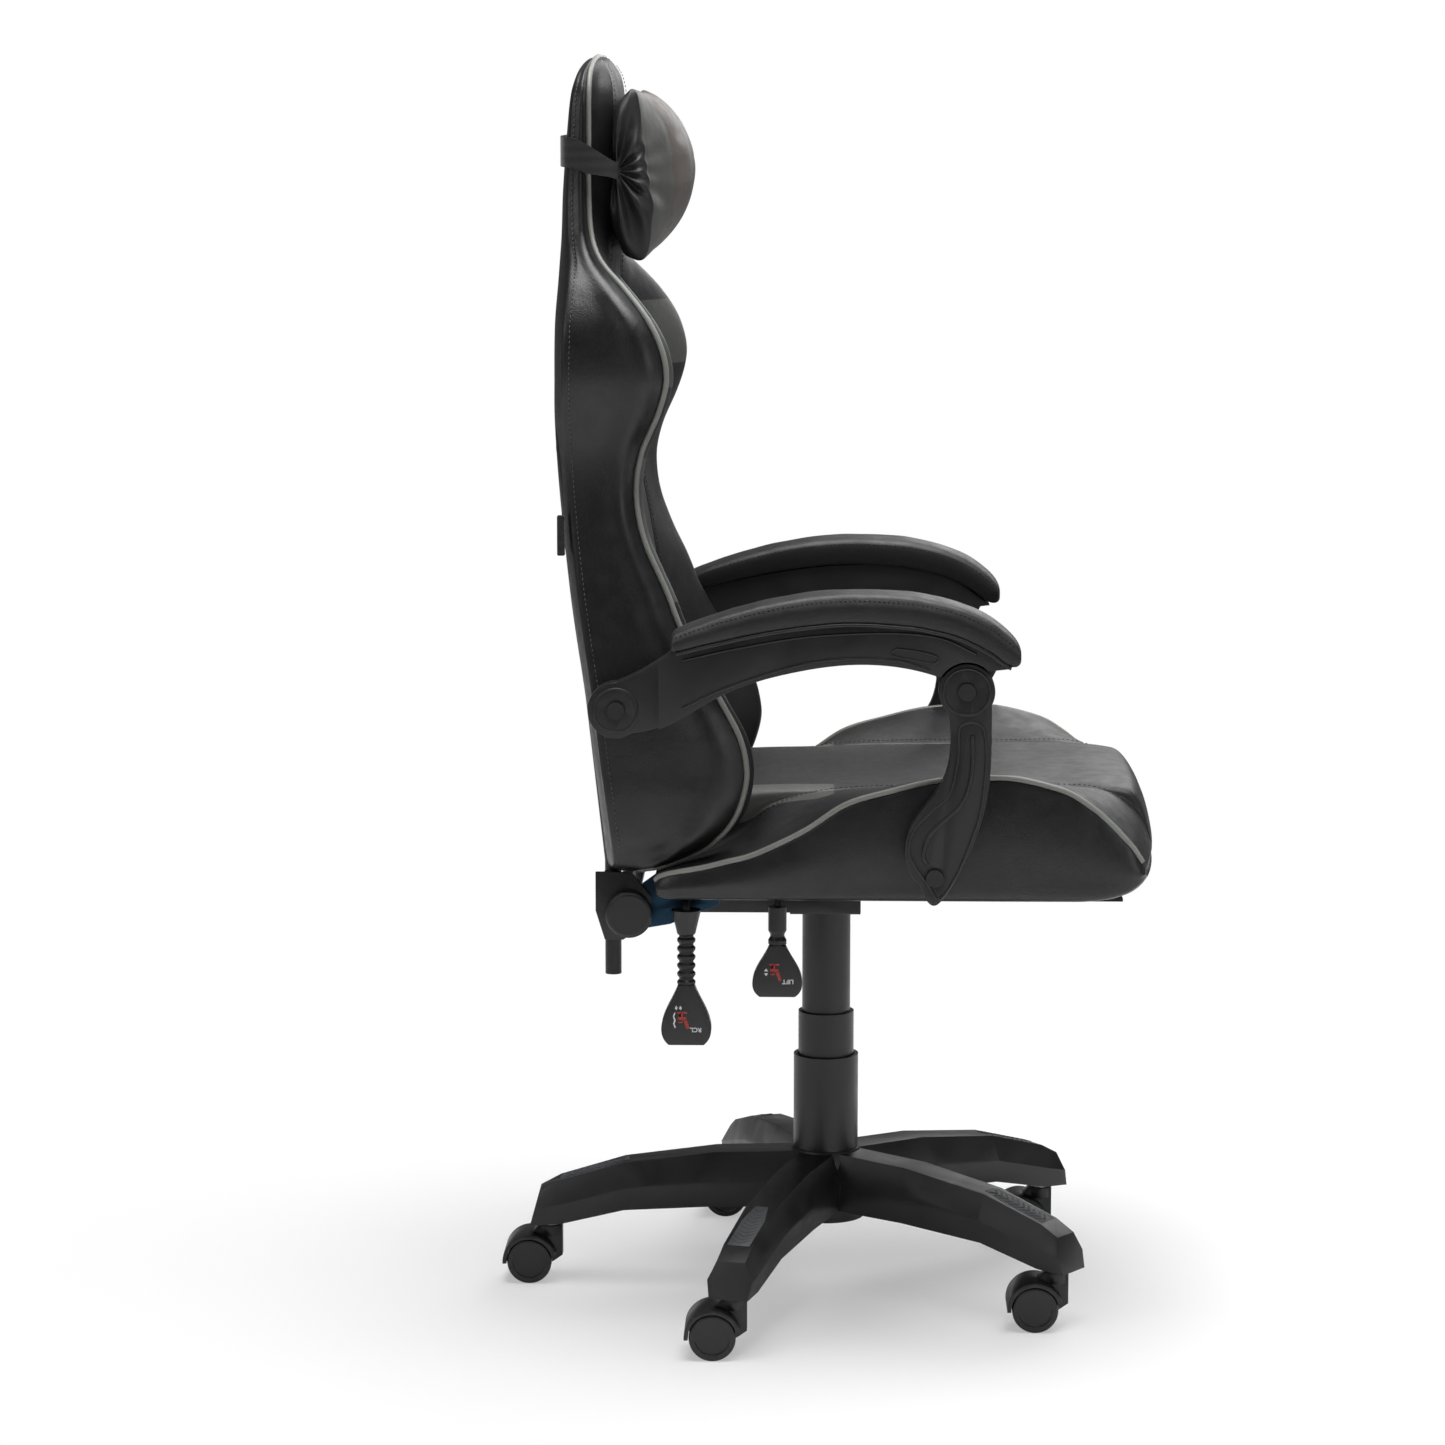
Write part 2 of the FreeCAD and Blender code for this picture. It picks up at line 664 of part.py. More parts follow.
def make_paddle(x, side, top, bottom, rod_bottom):
    neck = bellows_waist + 1
    wide = paddle_half_width
    height = top - bottom
    right = [(x + neck, top), (x + 0.62 * wide, top - 0.27 * height), (x + 0.97 * wide, top - 0.62 * height),
             (x + 0.99 * wide, bottom + 0.2 * height), (x + 0.7 * wide, bottom)]
    left = [(2 * x - px, pz) for px, pz in reversed(right)]
    outline = [right, [right[-1], left[0]], left, [left[-1], right[0]]]
    half = paddle_thickness / 2
    blade = smooth_plate(outline, -side - half, -side + half)
    return raised(blade.cut(post(lever_rod_radius, rod_bottom, top + 1, x, -side)))


# ---- back -------------------------------------------------------------------
def back_tube_path():
    low = back_stations[0][1] + back_tube_inset
    mid_height = 435.0
    mid = between(back_stations, mid_height, 1) + back_tube_inset
    neck = between(back_stations, 560.0, 1) + back_tube_inset
    top = between(head_stations, back_tube_top, 1) + back_tube_inset - 1
    side = [(low, back_tube_side, back_tube_bottom), (low, back_tube_side, 30.0), (mid, back_tube_side, mid_height),
            (neck, back_tube_side, 560.0), (top, head_tube_side, 655.0), (top, head_tube_side, back_tube_top)]
    other = [(x, -y, z) for x, y, z in reversed(side)]
    return side + other


def make_back_frame():
    hoop = bent_rod(back_tube_path(), back_tube_radius, back_tube_bend)
    hoop = hoop.cut(bent_rod(back_tube_path(), back_tube_radius - back_tube_wall, back_tube_bend))
    lug_x, lug_z = arm_pivot
    parts = []
    for side in (-1, 1):
        y0, y1 = sorted((side * (back_tube_side - 3), side * (back_tube_side + 5)))
        rear = between(back_stations, lug_z, 1) + back_tube_inset
        parts.append(box(rear - 3, lug_x + 13, y0, y1, lug_z - 16, lug_z + 16))
    tie_x = between(back_stations, back_tie_height, 1) + back_tube_inset
    parts.append(pin(back_tube_radius - 1, tie_x, back_tie_height, -back_tube_side, back_tube_side))
    frame = hoop.multiFuse(parts).removeSplitter()
    return raised(frame.cut(bolt_bore(arm_pivot)))


def make_back_webbing():
    straps = []
    for height in (130.0, 250.0, 370.0, 490.0):
        x = between(back_stations, height + 20, 1) + back_tube_inset
        reach = back_tube_side - back_tube_radius - 0.3
        straps.append(box(x - 1, x + 1, -reach, reach, height, height + 40))
    return raised(group(straps))


def shell_section(height, rear, depth, half):
    return [(rear, -half, height), (rear + depth, -half, height), (rear + depth, half, height), (rear, half, height)]


def frame_channel():
    """Room for the tube frame in the soft pieces of the back."""
    channel = bent_rod(back_tube_path(), back_tube_radius + soft_gap, back_tube_bend)
    tie_x = between(back_stations, back_tie_height, 1) + back_tube_inset
    return channel.fuse(pin(back_tube_radius - 1 + soft_gap, tie_x, back_tie_height, -back_tube_side, back_tube_side))


def make_back_shell():
    """Rear shell of the back, with channels for the tube frame."""
    lower = [shell_section(h, rear, cover_depth, half) for h, rear, _, half in back_stations]
    upper = [shell_section(h, rear, min(cover_depth, front - rear - 1), half)
             for h, rear, front, half in head_stations]
    shell = loft(lower).fuse(loft([lower[-1]] + upper[1:])).removeSplitter()
    window_stations = [s for s in back_stations if window_low < s[0] < window_high]
    window = loft([shell_section(h, rear + shell_wall, cover_depth, back_tube_side)
                   for h, rear in [(window_low, between(back_stations, window_low, 1))]
                   + [(s[0], s[1]) for s in window_stations]
                   + [(window_high, between(back_stations, window_high, 1))]])
    shell = shell.cut(frame_channel()).cut(window)
    lug_x, lug_z = arm_pivot
    for side in (-1, 1):
        y0, y1 = sorted((side * (back_tube_side - 4), side * (back_tube_side + 6)))
        shell = shell.cut(box(lug_x - lug_reach, lug_x + 14, y0, y1, lug_z - 17, lug_z + 17))
    return raised(shell.cut(bolt_bore(arm_pivot, soft_gap)))


def make_back_pad():
    """Centre pad between the bolsters."""
    outline_front = back_pad_stations
    outline_rear = [(s[0], s[1] + cover_depth + soft_gap) for s in back_stations
                    if back_pad_stations[0][0] <= s[0] <= back_pad_stations[-1][0]]
    top = back_pad_stations[-1][0]
    low = back_pad_stations[0][0]
    rear_line = [(low, between(back_stations, low, 1) + cover_depth + soft_gap)] + outline_rear
    rear_line.append((top, between(back_stations, top, 1) + cover_depth + soft_gap))
    rear_line = sorted(set(rear_line))
    outline = [(x, h) for h, x in rear_line] + [(x, h) for h, x in reversed(outline_front)]
    return raised(side_plate(outline, -pad_half_width, pad_half_width).cut(frame_channel()))


def make_bolster():
    """Left bolster of the back, from hip to shoulder."""
    inner = pad_half_width + soft_gap
    sections = []
    for height, rear, front, half in back_stations:
        low = rear + cover_depth + soft_gap
        front = max(front, low + 6)
        sections.append([(low, inner, height), (low, half, height), (front - 10, half, height),
                         (front, half - 10, height), (front - 4, inner + 12, height), (low + 0.4 * (front - low), inner, height)])
    bolster = loft(sections)
    lug_x, lug_z = arm_pivot
    pocket = box(lug_x - lug_reach, lug_x + 14, back_tube_side - 4, back_tube_side + 6, lug_z - 17, lug_z + 17)
    return raised(bolster.cut(pocket).cut(frame_channel()).cut(bolt_bore(arm_pivot, soft_gap)))


def make_head():
    sections = []
    for height, rear, front, half in head_stations:
        low = rear + min(cover_depth, front - rear - 1) + soft_gap
        sections.append([(low, -half, height), (max(front, low + 1), -half, height),
                         (max(front, low + 1), half, height), (low, half, height)])
    return raised(loft(sections).cut(frame_channel()))


def make_arm_bolts():
    x, z = arm_pivot
    bolt = pin(pivot_bolt_radius, x, z, back_tube_side - 3, arm_lobe_outer + 0.5)
    head = pin(pivot_head_radius, x, z, arm_lobe_outer + 0.3, arm_lobe_outer + 0.3 + pivot_head_depth)
    collar = pin(pivot_bolt_radius + 5, x, z, back_stations[4][3] + 2, arm_web_inner - 0.3)
    bolt = bolt.multiFuse([head, collar]).removeSplitter()
    return raised(group([bolt, mirrored(bolt)]))


def make_pillow():
    """Neck pillow: a lens that thins towards its four edges."""
    middle_height = (pillow_low + pillow_high) / 2
    half_height = (pillow_high - pillow_low) / 2
    rear = max(s[2] for s in head_stations[:3]) + soft_gap + 1
    sections = []
    for share in (-1.0, -0.72, 0.0, 0.72, 1.0):
        height = middle_height + share * half_height
        bulge = pillow_depth * math.sqrt(1 - (0.93 * share) ** 2)
        half = pillow_half_width * (1 - 0.06 * (1 - abs(share)))
        sections.append([(rear, -half, height), (rear + 0.55 * bulge, -half, height), (rear + bulge, -0.55 * half, height),
                         (rear + bulge, 0.55 * half, height), (rear + 0.55 * bulge, half, height), (rear, half, height)])
    return raised(loft(sections))


def make_strap():
    """Elastic band round the head of the back, fixed to both ends of the pillow."""
    rear = head_stations[1][1] - soft_gap
    half = head_stations[2][3] + soft_gap
    front = max(s[2] for s in head_stations[:3]) + 9
    outer = box(rear - strap_thickness, front, -half - strap_thickness, half + strap_thickness,
                strap_low, strap_low + strap_width)
    inner = box(rear, front + 1, -half, half, strap_low - 1, strap_low + strap_width + 1)
    ring = outer.cut(inner)
    tabs = [box(front - strap_thickness, front, pillow_half_width - 7, half + 0.1, strap_low, strap_low + strap_width)]
    tabs.append(mirrored(tabs[0]))
    return raised(ring.multiFuse(tabs).removeSplitter())


# ---- arms, left side --------------------------------------------------------
pad_crown = [(-148.0, 256.0), (-118.0, 281.0), (-60.0, 299.0), (20.0, 309.0), (90.0, 305.0), (140.0, 292.0),
             (174.0, 271.0), (184.0, 252.0)]
pad_belly = [(174.0, 233.0), (150.0, 251.0), (110.0, 272.0), (60.0, 277.0), (-20.0, 273.0), (-90.0, 261.0),
             (-148.0, 248.0)]


def make_arm_pad():
    outline = [pad_crown, [pad_crown[-1], pad_belly[0]], pad_belly, [pad_belly[-1], pad_crown[0]]]
    return raised(smooth_plate(outline, arm_pad_inner, arm_pad_outer))


def make_arm_shell():
    """Plastic arm under the pad, from the lobe on the back to the knuckle ear."""
    ax, az = arm_pivot
    kx, kz = knuckle_pivot
    top = [(x, z - soft_gap) for x, z in reversed(pad_belly)]
    under = [(kx - 28, kz + 15), (68.0, 234.0), (20.0, 236.0), (-30.0, 229.0), (-105.0, 204.0), (-150.0, 178.0), (ax + 14, az - 22)]
    heel = [(ax + 14, az - 22), (ax - 5, az + 25)]
    shoulder = [(ax - 5, az + 25), (-176.0, 229.0), (top[0][0], top[0][1])]
    nose_end = [(top[-1][0], top[-1][1]), (kx - 28, kz + 15)]
    web = smooth_plate([top, nose_end, under, heel, shoulder], arm_web_inner, arm_web_outer)
    lobe = pin(arm_lobe_radius, ax, az, arm_web_inner, arm_lobe_outer)
    ear = pin(knuckle_radius - 2, kx, kz, arm_web_inner, arm_web_outer)
    ear_root = side_plate([(kx - 25, kz), (kx - 30, kz + 14), (kx - 12, kz + 45), (kx + 34, kz + 28), (kx + 20, kz + 2)],
                          arm_web_inner, arm_web_outer)
    body = smooth_plate([top, nose_end, under, heel, shoulder], arm_web_outer - 1, arm_body_outer)
    body = body.cut(box(ax - 60, ax + 42, arm_lobe_outer, arm_body_outer + 1, az - 60, az + 120))
    knuckle_room = pin(knuckle_radius + 2, kx, kz, arm_web_outer, arm_body_outer + 1)
    shell = web.multiFuse([lobe, ear, ear_root, body]).removeSplitter().cut(knuckle_room)
    top_cut = smooth_plate([pad_crown, [pad_crown[-1], top[-1]], list(reversed(top)), [top[0], pad_crown[0]]],
                           arm_web_inner - 1, arm_body_outer + 1)
    shell = shell.cut(top_cut)
    shell = shell.cut(pin(pivot_bolt_radius + running, ax, az, 0, 400))
    return raised(shell.cut(pin(pivot_bolt_radius + open_gap, kx, kz, 0, 400)))


def make_upright():
    kx, kz = knuckle_pivot
    fx, fz = upright_pivot
    front = [(kx + 24, kz - 9), (kx + 24, kz - 52), (kx + 22, kz - 90), (kx + 12, kz - 135), (fx + 14, fz - 8)]
    rear = [(fx - 14, fz - 8), (fx - 29, fz + 22), (fx - 24, fz + 48), (kx - 22, kz - 86), (kx - 15, kz - 50), (kx - 18, kz - 18)]
    tip = [(fx + 14, fz - 8), (fx - 1, fz - 27), (fx - 14, fz - 8)]
    blade = smooth_plate([front, tip, rear, [rear[-1], front[0]]], upright_inner, upright_outer)
    disc = pin(knuckle_radius, kx, kz, upright_inner, upright_outer)
    upright = blade.fuse(disc).removeSplitter()
    upright = upright.cut(pin(pivot_bolt_radius, kx, kz, 0, 400))
    return raised(upright.cut(pin(pivot_bolt_radius + running, fx, fz, 0, 400)))


def make_knuckle_pin():
    kx, kz = knuckle_pivot
    shaft = pin(pivot_bolt_radius, kx, kz, arm_web_inner - 1, upright_outer)
    head = pin(pivot_head_radius, kx, kz, upright_outer, upright_outer + pivot_head_depth)
    nut = pin(pivot_head_radius + 2, kx, kz, arm_web_inner - 5, arm_web_inner - 0.5)
    return raised(shaft.multiFuse([head, nut]).removeSplitter())


# ---- every node -------------------------------------------------------------
cover_bottoms = [hub_top, cover_lower_top - cover_overlap, cover_middle_top - cover_overlap]
cover_upper_top = deck - housing_drop - 0.3

nodes = {
    "star_base": make_base(),
    "base_foot_inserts": group([turned(insert_solid(), a) for a in arm_angles]),
    "caster_stems": make_stems(),
    "column_tube": make_column_tube(),
    "column_bushing": make_column_bushing(),
    "cover_lower": make_cover(cover_lower_radius, cover_bottoms[0], cover_lower_top, True),
    "cover_middle": make_cover(cover_middle_radius, cover_bottoms[1], cover_middle_top, True),
    "cover_upper": make_cover(cover_upper_radius, cover_bottoms[2], cover_upper_top, False),
    "piston_rod": make_piston_rod(),
    "gas_cylinder": make_cylinder(),
    "gas_button": make_button(),
    "seat_plate": make_plate(),
    "plate_bolts": make_plate_bolts(),
    "seat_frame": make_seat_frame(),
    "seat_webbing": make_seat_webbing(),
    "seat_board": make_seat_board(),
    "seat_pad": make_seat_pad(),
    "upright_bolts": make_upright_bolts(),
    "recliner_rod": make_recliner_rod(),
    "lift_rod": lift_rod_along(-lift_paddle_bottom + 25, lever_rod_radius),
    "lift_bellows": make_bellows(lift_lever_x, lift_lever_side, -13.0, -lift_paddle_top, bellows_radius).cut(
        lift_rod_along(-lift_rod_drop - 10, lever_rod_radius + soft_gap)),
    "lift_paddle": make_paddle(lift_lever_x, lift_lever_side, -lift_paddle_top, -lift_paddle_bottom,
                               -lift_paddle_bottom + 25),
    "recline_rod": make_recline_rod(),
    "recline_bellows": make_bellows(recline_lever_x, recline_lever_side, -14.0, -recline_paddle_top, 14.5),
    "recline_paddle": make_paddle(recline_lever_x, recline_lever_side, -recline_paddle_top, -recline_paddle_bottom,
                                  -recline_paddle_bottom + 28),
    "back_frame": make_back_frame(),
    "back_webbing": make_back_webbing(),
    "back_shell": make_back_shell(),
    "back_pad": make_back_pad(),
    "back_head": make_head(),
    "arm_bolts": make_arm_bolts(),
    "recliner_caps": group([make_recliner_cap(), mirrored(make_recliner_cap())]),
    "neck_pillow": make_pillow(),
    "pillow_strap": make_strap(),
}

for number, angle in enumerate(arm_angles, start=1):
    nodes[f"caster_fork_{number}"] = caster_place(make_fork(), angle)
    nodes[f"caster_wheels_{number}"] = caster_place(make_wheels(), angle)

paired = {
    "seat_wing": make_wing,
    "recliner_lower": make_recliner_lower,
    "recliner_upper": make_recliner_upper,
    "back_bolster": make_bolster,
    "arm_pad": make_arm_pad,
    "arm_shell": make_arm_shell,
    "upright": make_upright,
    "knuckle_pin": make_knuckle_pin,
}
for name, make in paired.items():
    left = make()
    nodes[name + "_left"] = left
    nodes[name + "_right"] = mirrored(left)

os.makedirs("parts", exist_ok=True)
for name, shape in nodes.items():
    shape.exportStep(f"parts/{name}.step")
    print(name, len(shape.Solids), round(shape.Volume / 1000.0, 1), "cm3", shape.isValid())
print(len(nodes), "nodes")
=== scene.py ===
import bpy
import math
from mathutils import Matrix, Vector, noise


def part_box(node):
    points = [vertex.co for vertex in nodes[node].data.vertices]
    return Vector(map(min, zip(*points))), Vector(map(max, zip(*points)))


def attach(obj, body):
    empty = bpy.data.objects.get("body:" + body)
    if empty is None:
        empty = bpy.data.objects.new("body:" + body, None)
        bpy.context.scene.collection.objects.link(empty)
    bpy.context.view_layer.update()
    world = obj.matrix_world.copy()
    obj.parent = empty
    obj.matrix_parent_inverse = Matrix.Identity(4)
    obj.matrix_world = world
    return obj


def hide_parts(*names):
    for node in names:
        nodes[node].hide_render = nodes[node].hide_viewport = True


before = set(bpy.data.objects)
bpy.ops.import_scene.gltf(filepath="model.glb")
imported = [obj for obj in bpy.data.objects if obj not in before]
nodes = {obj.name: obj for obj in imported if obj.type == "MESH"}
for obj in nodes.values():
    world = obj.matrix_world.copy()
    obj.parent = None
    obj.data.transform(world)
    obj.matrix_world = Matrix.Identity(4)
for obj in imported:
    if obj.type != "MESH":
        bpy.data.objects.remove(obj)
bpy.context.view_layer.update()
mm = 0.001
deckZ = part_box("seat_wing_left")[0][2] / mm      # underside of the seat, in mm above the floor
sides = {"left": 1, "right": -1}
print("frame loaded")


# selection and modelling helpers
def deselectAll():
    if bpy.context.object and bpy.context.object.mode != "OBJECT":
        bpy.ops.object.mode_set(mode="OBJECT")
    bpy.ops.object.select_all(action="DESELECT")


def makeActive(piece):
    deselectAll()
    piece.select_set(True)
    bpy.context.view_layer.objects.active = piece


def applyModifiers(piece):
    makeActive(piece)
    for modifier in list(piece.modifiers):
        bpy.ops.object.modifier_apply(modifier=modifier.name)


def setPlace(piece):
    makeActive(piece)
    bpy.ops.object.transform_apply(location=True, rotation=True, scale=True)


def joinPieces(pieces, name):
    deselectAll()
    for piece in pieces:
        piece.select_set(True)
    bpy.context.view_layer.objects.active = pieces[0]
    bpy.ops.object.join()
    pieces[0].name = name
    return pieces[0]


def editMesh(piece, closeEnds=True):
    makeActive(piece)
    bpy.ops.object.mode_set(mode="EDIT")
    bpy.ops.mesh.select_all(action="SELECT")
    bpy.ops.mesh.remove_doubles(threshold=0.00005)
    if closeEnds:
        bpy.ops.mesh.fill_holes(sides=0)
        bpy.ops.mesh.select_all(action="SELECT")
    bpy.ops.mesh.normals_make_consistent(inside=False)
    bpy.ops.object.mode_set(mode="OBJECT")


def gridPiece(name, columns, rows, place, closed=True, panel=None):
    # a flat grid, each of whose points is carried to its place: u runs across, v along
    deselectAll()
    bpy.ops.mesh.primitive_grid_add(x_subdivisions=columns, y_subdivisions=rows, size=2)
    piece = bpy.context.object
    piece.name = name
    if panel:
        for polygon in piece.data.polygons:
            polygon.material_index = panel((polygon.center.x + 1) / 2, (polygon.center.y + 1) / 2)
    for vertex in piece.data.vertices:
        u = (vertex.co.x + 1) / 2
        v = (vertex.co.y + 1) / 2
        vertex.co = Vector(place(u, v)) * mm
    if closed:
        editMesh(piece)
    return piece


def smoothPiece(piece, levels=1, angle=None):
    if levels:
        surface = piece.modifiers.new("surface", "SUBSURF")
        surface.levels = levels
        surface.render_levels = levels
    applyModifiers(piece)
    makeActive(piece)
    if angle:
        bpy.ops.object.shade_smooth_by_angle(angle=math.radians(angle))
    else:
        bpy.ops.object.shade_smooth()


def alongCurve(points, share):
    # point on a smooth line through the listed points, share from 0 to 1
    spans = len(points) - 1
    at = min(max(share, 0.0), 1.0) * spans
    i = min(int(at), spans - 1)
    t = at - i
    p1, p2 = Vector(points[i]), Vector(points[i + 1])
    p0 = Vector(points[i - 1]) if i > 0 else p1 * 2 - p2
    p3 = Vector(points[i + 2]) if i + 2 <= spans else p2 * 2 - p1
    return 0.5 * ((2 * p1) + (p2 - p0) * t + (2 * p0 - 5 * p1 + 4 * p2 - p3) * t ** 2
                  + (3 * p1 - p0 - 3 * p2 + p3) * t ** 3)


def stationAt(stations, place):
    # values of a station table at a place, smooth through the stations
    last = len(stations) - 1
    place = min(max(place, stations[0][0]), stations[-1][0])
    i = 0
    while i < last - 1 and stations[i + 1][0] < place:
        i += 1
    start, end = stations[i], stations[i + 1]
    gap = end[0] - start[0]
    t = (place - start[0]) / gap
    before = stations[max(i - 1, 0)]
    after = stations[min(i + 2, last)]
    values = []
    for k in range(1, len(start)):
        slopeIn = (end[k] - before[k]) / (end[0] - before[0])
        slopeOut = (after[k] - start[k]) / (after[0] - start[0])
        a, b = start[k], end[k]
        values.append(a * (2 * t ** 3 - 3 * t ** 2 + 1) + slopeIn * gap * (t ** 3 - 2 * t ** 2 + t)
                      + b * (3 * t ** 2 - 2 * t ** 3) + slopeOut * gap * (t ** 3 - t ** 2))
    return values


def smoothStep(low, high, value):
    t = min(max((value - low) / (high - low), 0.0), 1.0)
    return t * t * (3 - 2 * t)


def ringPoint(halfPoints, u):
    # a ring that is the same left and right: u 0 at the first point, 0.5 at the last
    share = u * 2 if u <= 0.5 else (1 - u) * 2
    x, y = alongCurve(halfPoints, share)
    return x, (y if u <= 0.5 else -y)


def ripple(x, y, z, size, seed=0.0):
    return noise.noise(Vector((x / size, y / size, z / size + seed)))


def tube(name, points, radius, closed=False, order=4, resolution=6):
    # round cord of piping along points, in mm
    curve = bpy.data.curves.new(name, "CURVE")
    curve.dimensions = "3D"
    spline = curve.splines.new("POLY")
    spline.points.add(len(points) - 1)
    for point, target in zip(spline.points, points):
        point.co = (target[0] * mm, target[1] * mm, target[2] * mm, 1)
    spline.use_cyclic_u = closed
    curve.bevel_depth = radius * mm
    curve.bevel_resolution = 3
    curve.use_fill_caps = True
    piece = bpy.data.objects.new(name, curve)
    bpy.context.collection.objects.link(piece)
    makeActive(piece)
    bpy.ops.object.convert(target="MESH")
    piece = bpy.context.object
    piece.name = name
    bpy.ops.object.shade_smooth()
    return piece


def softenedCopy(nodeName, width, segments=2, angle=30):
    # copy of a frame part with merged faces and rounded edges
    piece = bpy.data.objects.new(nodeName + "_finished", nodes[nodeName].data.copy())
    bpy.context.collection.objects.link(piece)
    makeActive(piece)
    bpy.ops.mesh.customdata_custom_splitnormals_clear()
    bpy.ops.object.mode_set(mode="EDIT")
    bpy.ops.mesh.select_all(action="SELECT")
    bpy.ops.mesh.remove_doubles(threshold=0.00002)
    bpy.ops.mesh.dissolve_limited(angle_limit=math.radians(0.6))
    bpy.ops.object.mode_set(mode="OBJECT")
    bevel = piece.modifiers.new("edges", "BEVEL")
    bevel.width = width * mm
    bevel.segments = segments
    bevel.limit_method = "ANGLE"
    bevel.angle_limit = math.radians(angle)
    bevel.use_clamp_overlap = True
    applyModifiers(piece)
    makeActive(piece)
    bpy.ops.object.shade_smooth_by_angle(angle=math.radians(38))
    return piece


# materials
def linearColour(hexColour):
    channels = [int(hexColour[i:i + 2], 16) / 255 for i in (1, 3, 5)]
    return tuple(c / 12.92 if c <= 0.04045 else ((c + 0.055) / 1.055) ** 2.4 for c in channels) + (1,)


def addNode(material, kind, settings=None, links=None):
    node = material.node_tree.nodes.new(kind)
    for key, value in (settings or {}).items():
        if isinstance(key, int) or key in node.inputs:
            node.inputs[key].default_value = value
        else:
            setattr(node, key, value)
    for key, (source, output) in (links or {}).items():
        material.node_tree.links.new(source.outputs[output], node.inputs[key])
    return node


def startMaterial(name, roughness, metallic=0.0, ior=1.5, coat=0.0, coatRoughness=0.2, sheen=0.0):
    material = bpy.data.materials.new(name)
    material.use_nodes = True
    shader = material.node_tree.nodes["Principled BSDF"]
    shader.inputs["Roughness"].default_value = roughness
    shader.inputs["Metallic"].default_value = metallic
    shader.inputs["IOR"].default_value = ior
    shader.inputs["Coat Weight"].default_value = coat
    shader.inputs["Coat Roughness"].default_value = coatRoughness
    shader.inputs["Sheen Weight"].default_value = sheen
    place = addNode(material, "ShaderNodeTexCoord")
    return material, shader, place


def perMetre(sizeInMillimetres):
    return 1000.0 / sizeInMillimetres


def finishSurface(material, shader, colour, roughness, height, depth):
    tree = material.node_tree
    tree.links.new(colour[0].outputs[colour[1]], shader.inputs["Base Color"])
    tree.links.new(roughness[0].outputs[roughness[1]], shader.inputs["Roughness"])
    bump = addNode(material, "ShaderNodeBump", {"Distance": depth * mm, "Strength": 0.8}, {"Height": height})
    tree.links.new(bump.outputs["Normal"], shader.inputs["Normal"])


def puLeather(name, dark, light, roughLow, roughHigh, grain=1.1, depth=0.16, coat=0.0):
    # polyurethane-coated fabric, embossed with a fine pebble grain and softly creased
    material, shader, place = startMaterial(name, roughLow, coat=coat, coatRoughness=0.32)
    pebble = addNode(material, "ShaderNodeTexVoronoi", {"feature": "SMOOTH_F1", "Scale": perMetre(grain)},
                     {"Vector": (place, "Object")})
    drift = addNode(material, "ShaderNodeTexNoise", {"Scale": perMetre(70), "Detail": 3.0}, {"Vector": (place, "Object")})
    crease = addNode(material, "ShaderNodeTexNoise", {"Scale": perMetre(16), "Detail": 6.0, "Roughness": 0.62},
                     {"Vector": (place, "Object")})
    tint = addNode(material, "ShaderNodeMapRange", {"From Min": 0.3, "From Max": 0.7}, {"Value": (drift, "Fac")})
    colour = addNode(material, "ShaderNodeMix", {"data_type": "RGBA"}, {"Factor": (tint, "Result")})
    colour.inputs[6].default_value = linearColour(dark)
    colour.inputs[7].default_value = linearColour(light)
    rough = addNode(material, "ShaderNodeMapRange", {"From Min": 0.3, "From Max": 0.72, "To Min": roughLow,
                                                     "To Max": roughHigh}, {"Value": (crease, "Fac")})
    relief = addNode(material, "ShaderNodeMath", {"operation": "MULTIPLY_ADD", 1: 3.5},
                     {0: (crease, "Fac"), 2: (pebble, "Distance")})
    finishSurface(material, shader, (colour, 2), (rough, "Result"), (relief, "Value"), depth)
    return material


def mouldedPlastic(name, dark, light, roughLow, roughHigh, grain=0.7, depth=0.05):
    # injection-moulded nylon or polypropylene with a spark-eroded texture; scuffs vary its gloss
    material, shader, place = startMaterial(name, roughLow, ior=1.53)
    spark = addNode(material, "ShaderNodeTexNoise", {"Scale": perMetre(grain), "Detail": 2.0}, {"Vector": (place, "Object")})
    flow = addNode(material, "ShaderNodeTexNoise", {"Scale": perMetre(45), "Detail": 4.0, "Distortion": 0.6},
                   {"Vector": (place, "Object")})
    tint = addNode(material, "ShaderNodeMapRange", {"From Min": 0.35, "From Max": 0.7}, {"Value": (flow, "Fac")})
    colour = addNode(material, "ShaderNodeMix", {"data_type": "RGBA"}, {"Factor": (tint, "Result")})
    colour.inputs[6].default_value = linearColour(dark)
    colour.inputs[7].default_value = linearColour(light)
    rough = addNode(material, "ShaderNodeMapRange", {"From Min": 0.3, "From Max": 0.7, "To Min": roughLow,
                                                     "To Max": roughHigh}, {"Value": (flow, "Fac")})
    finishSurface(material, shader, (colour, 2), (rough, "Result"), (spark, "Fac"), depth)
    return material


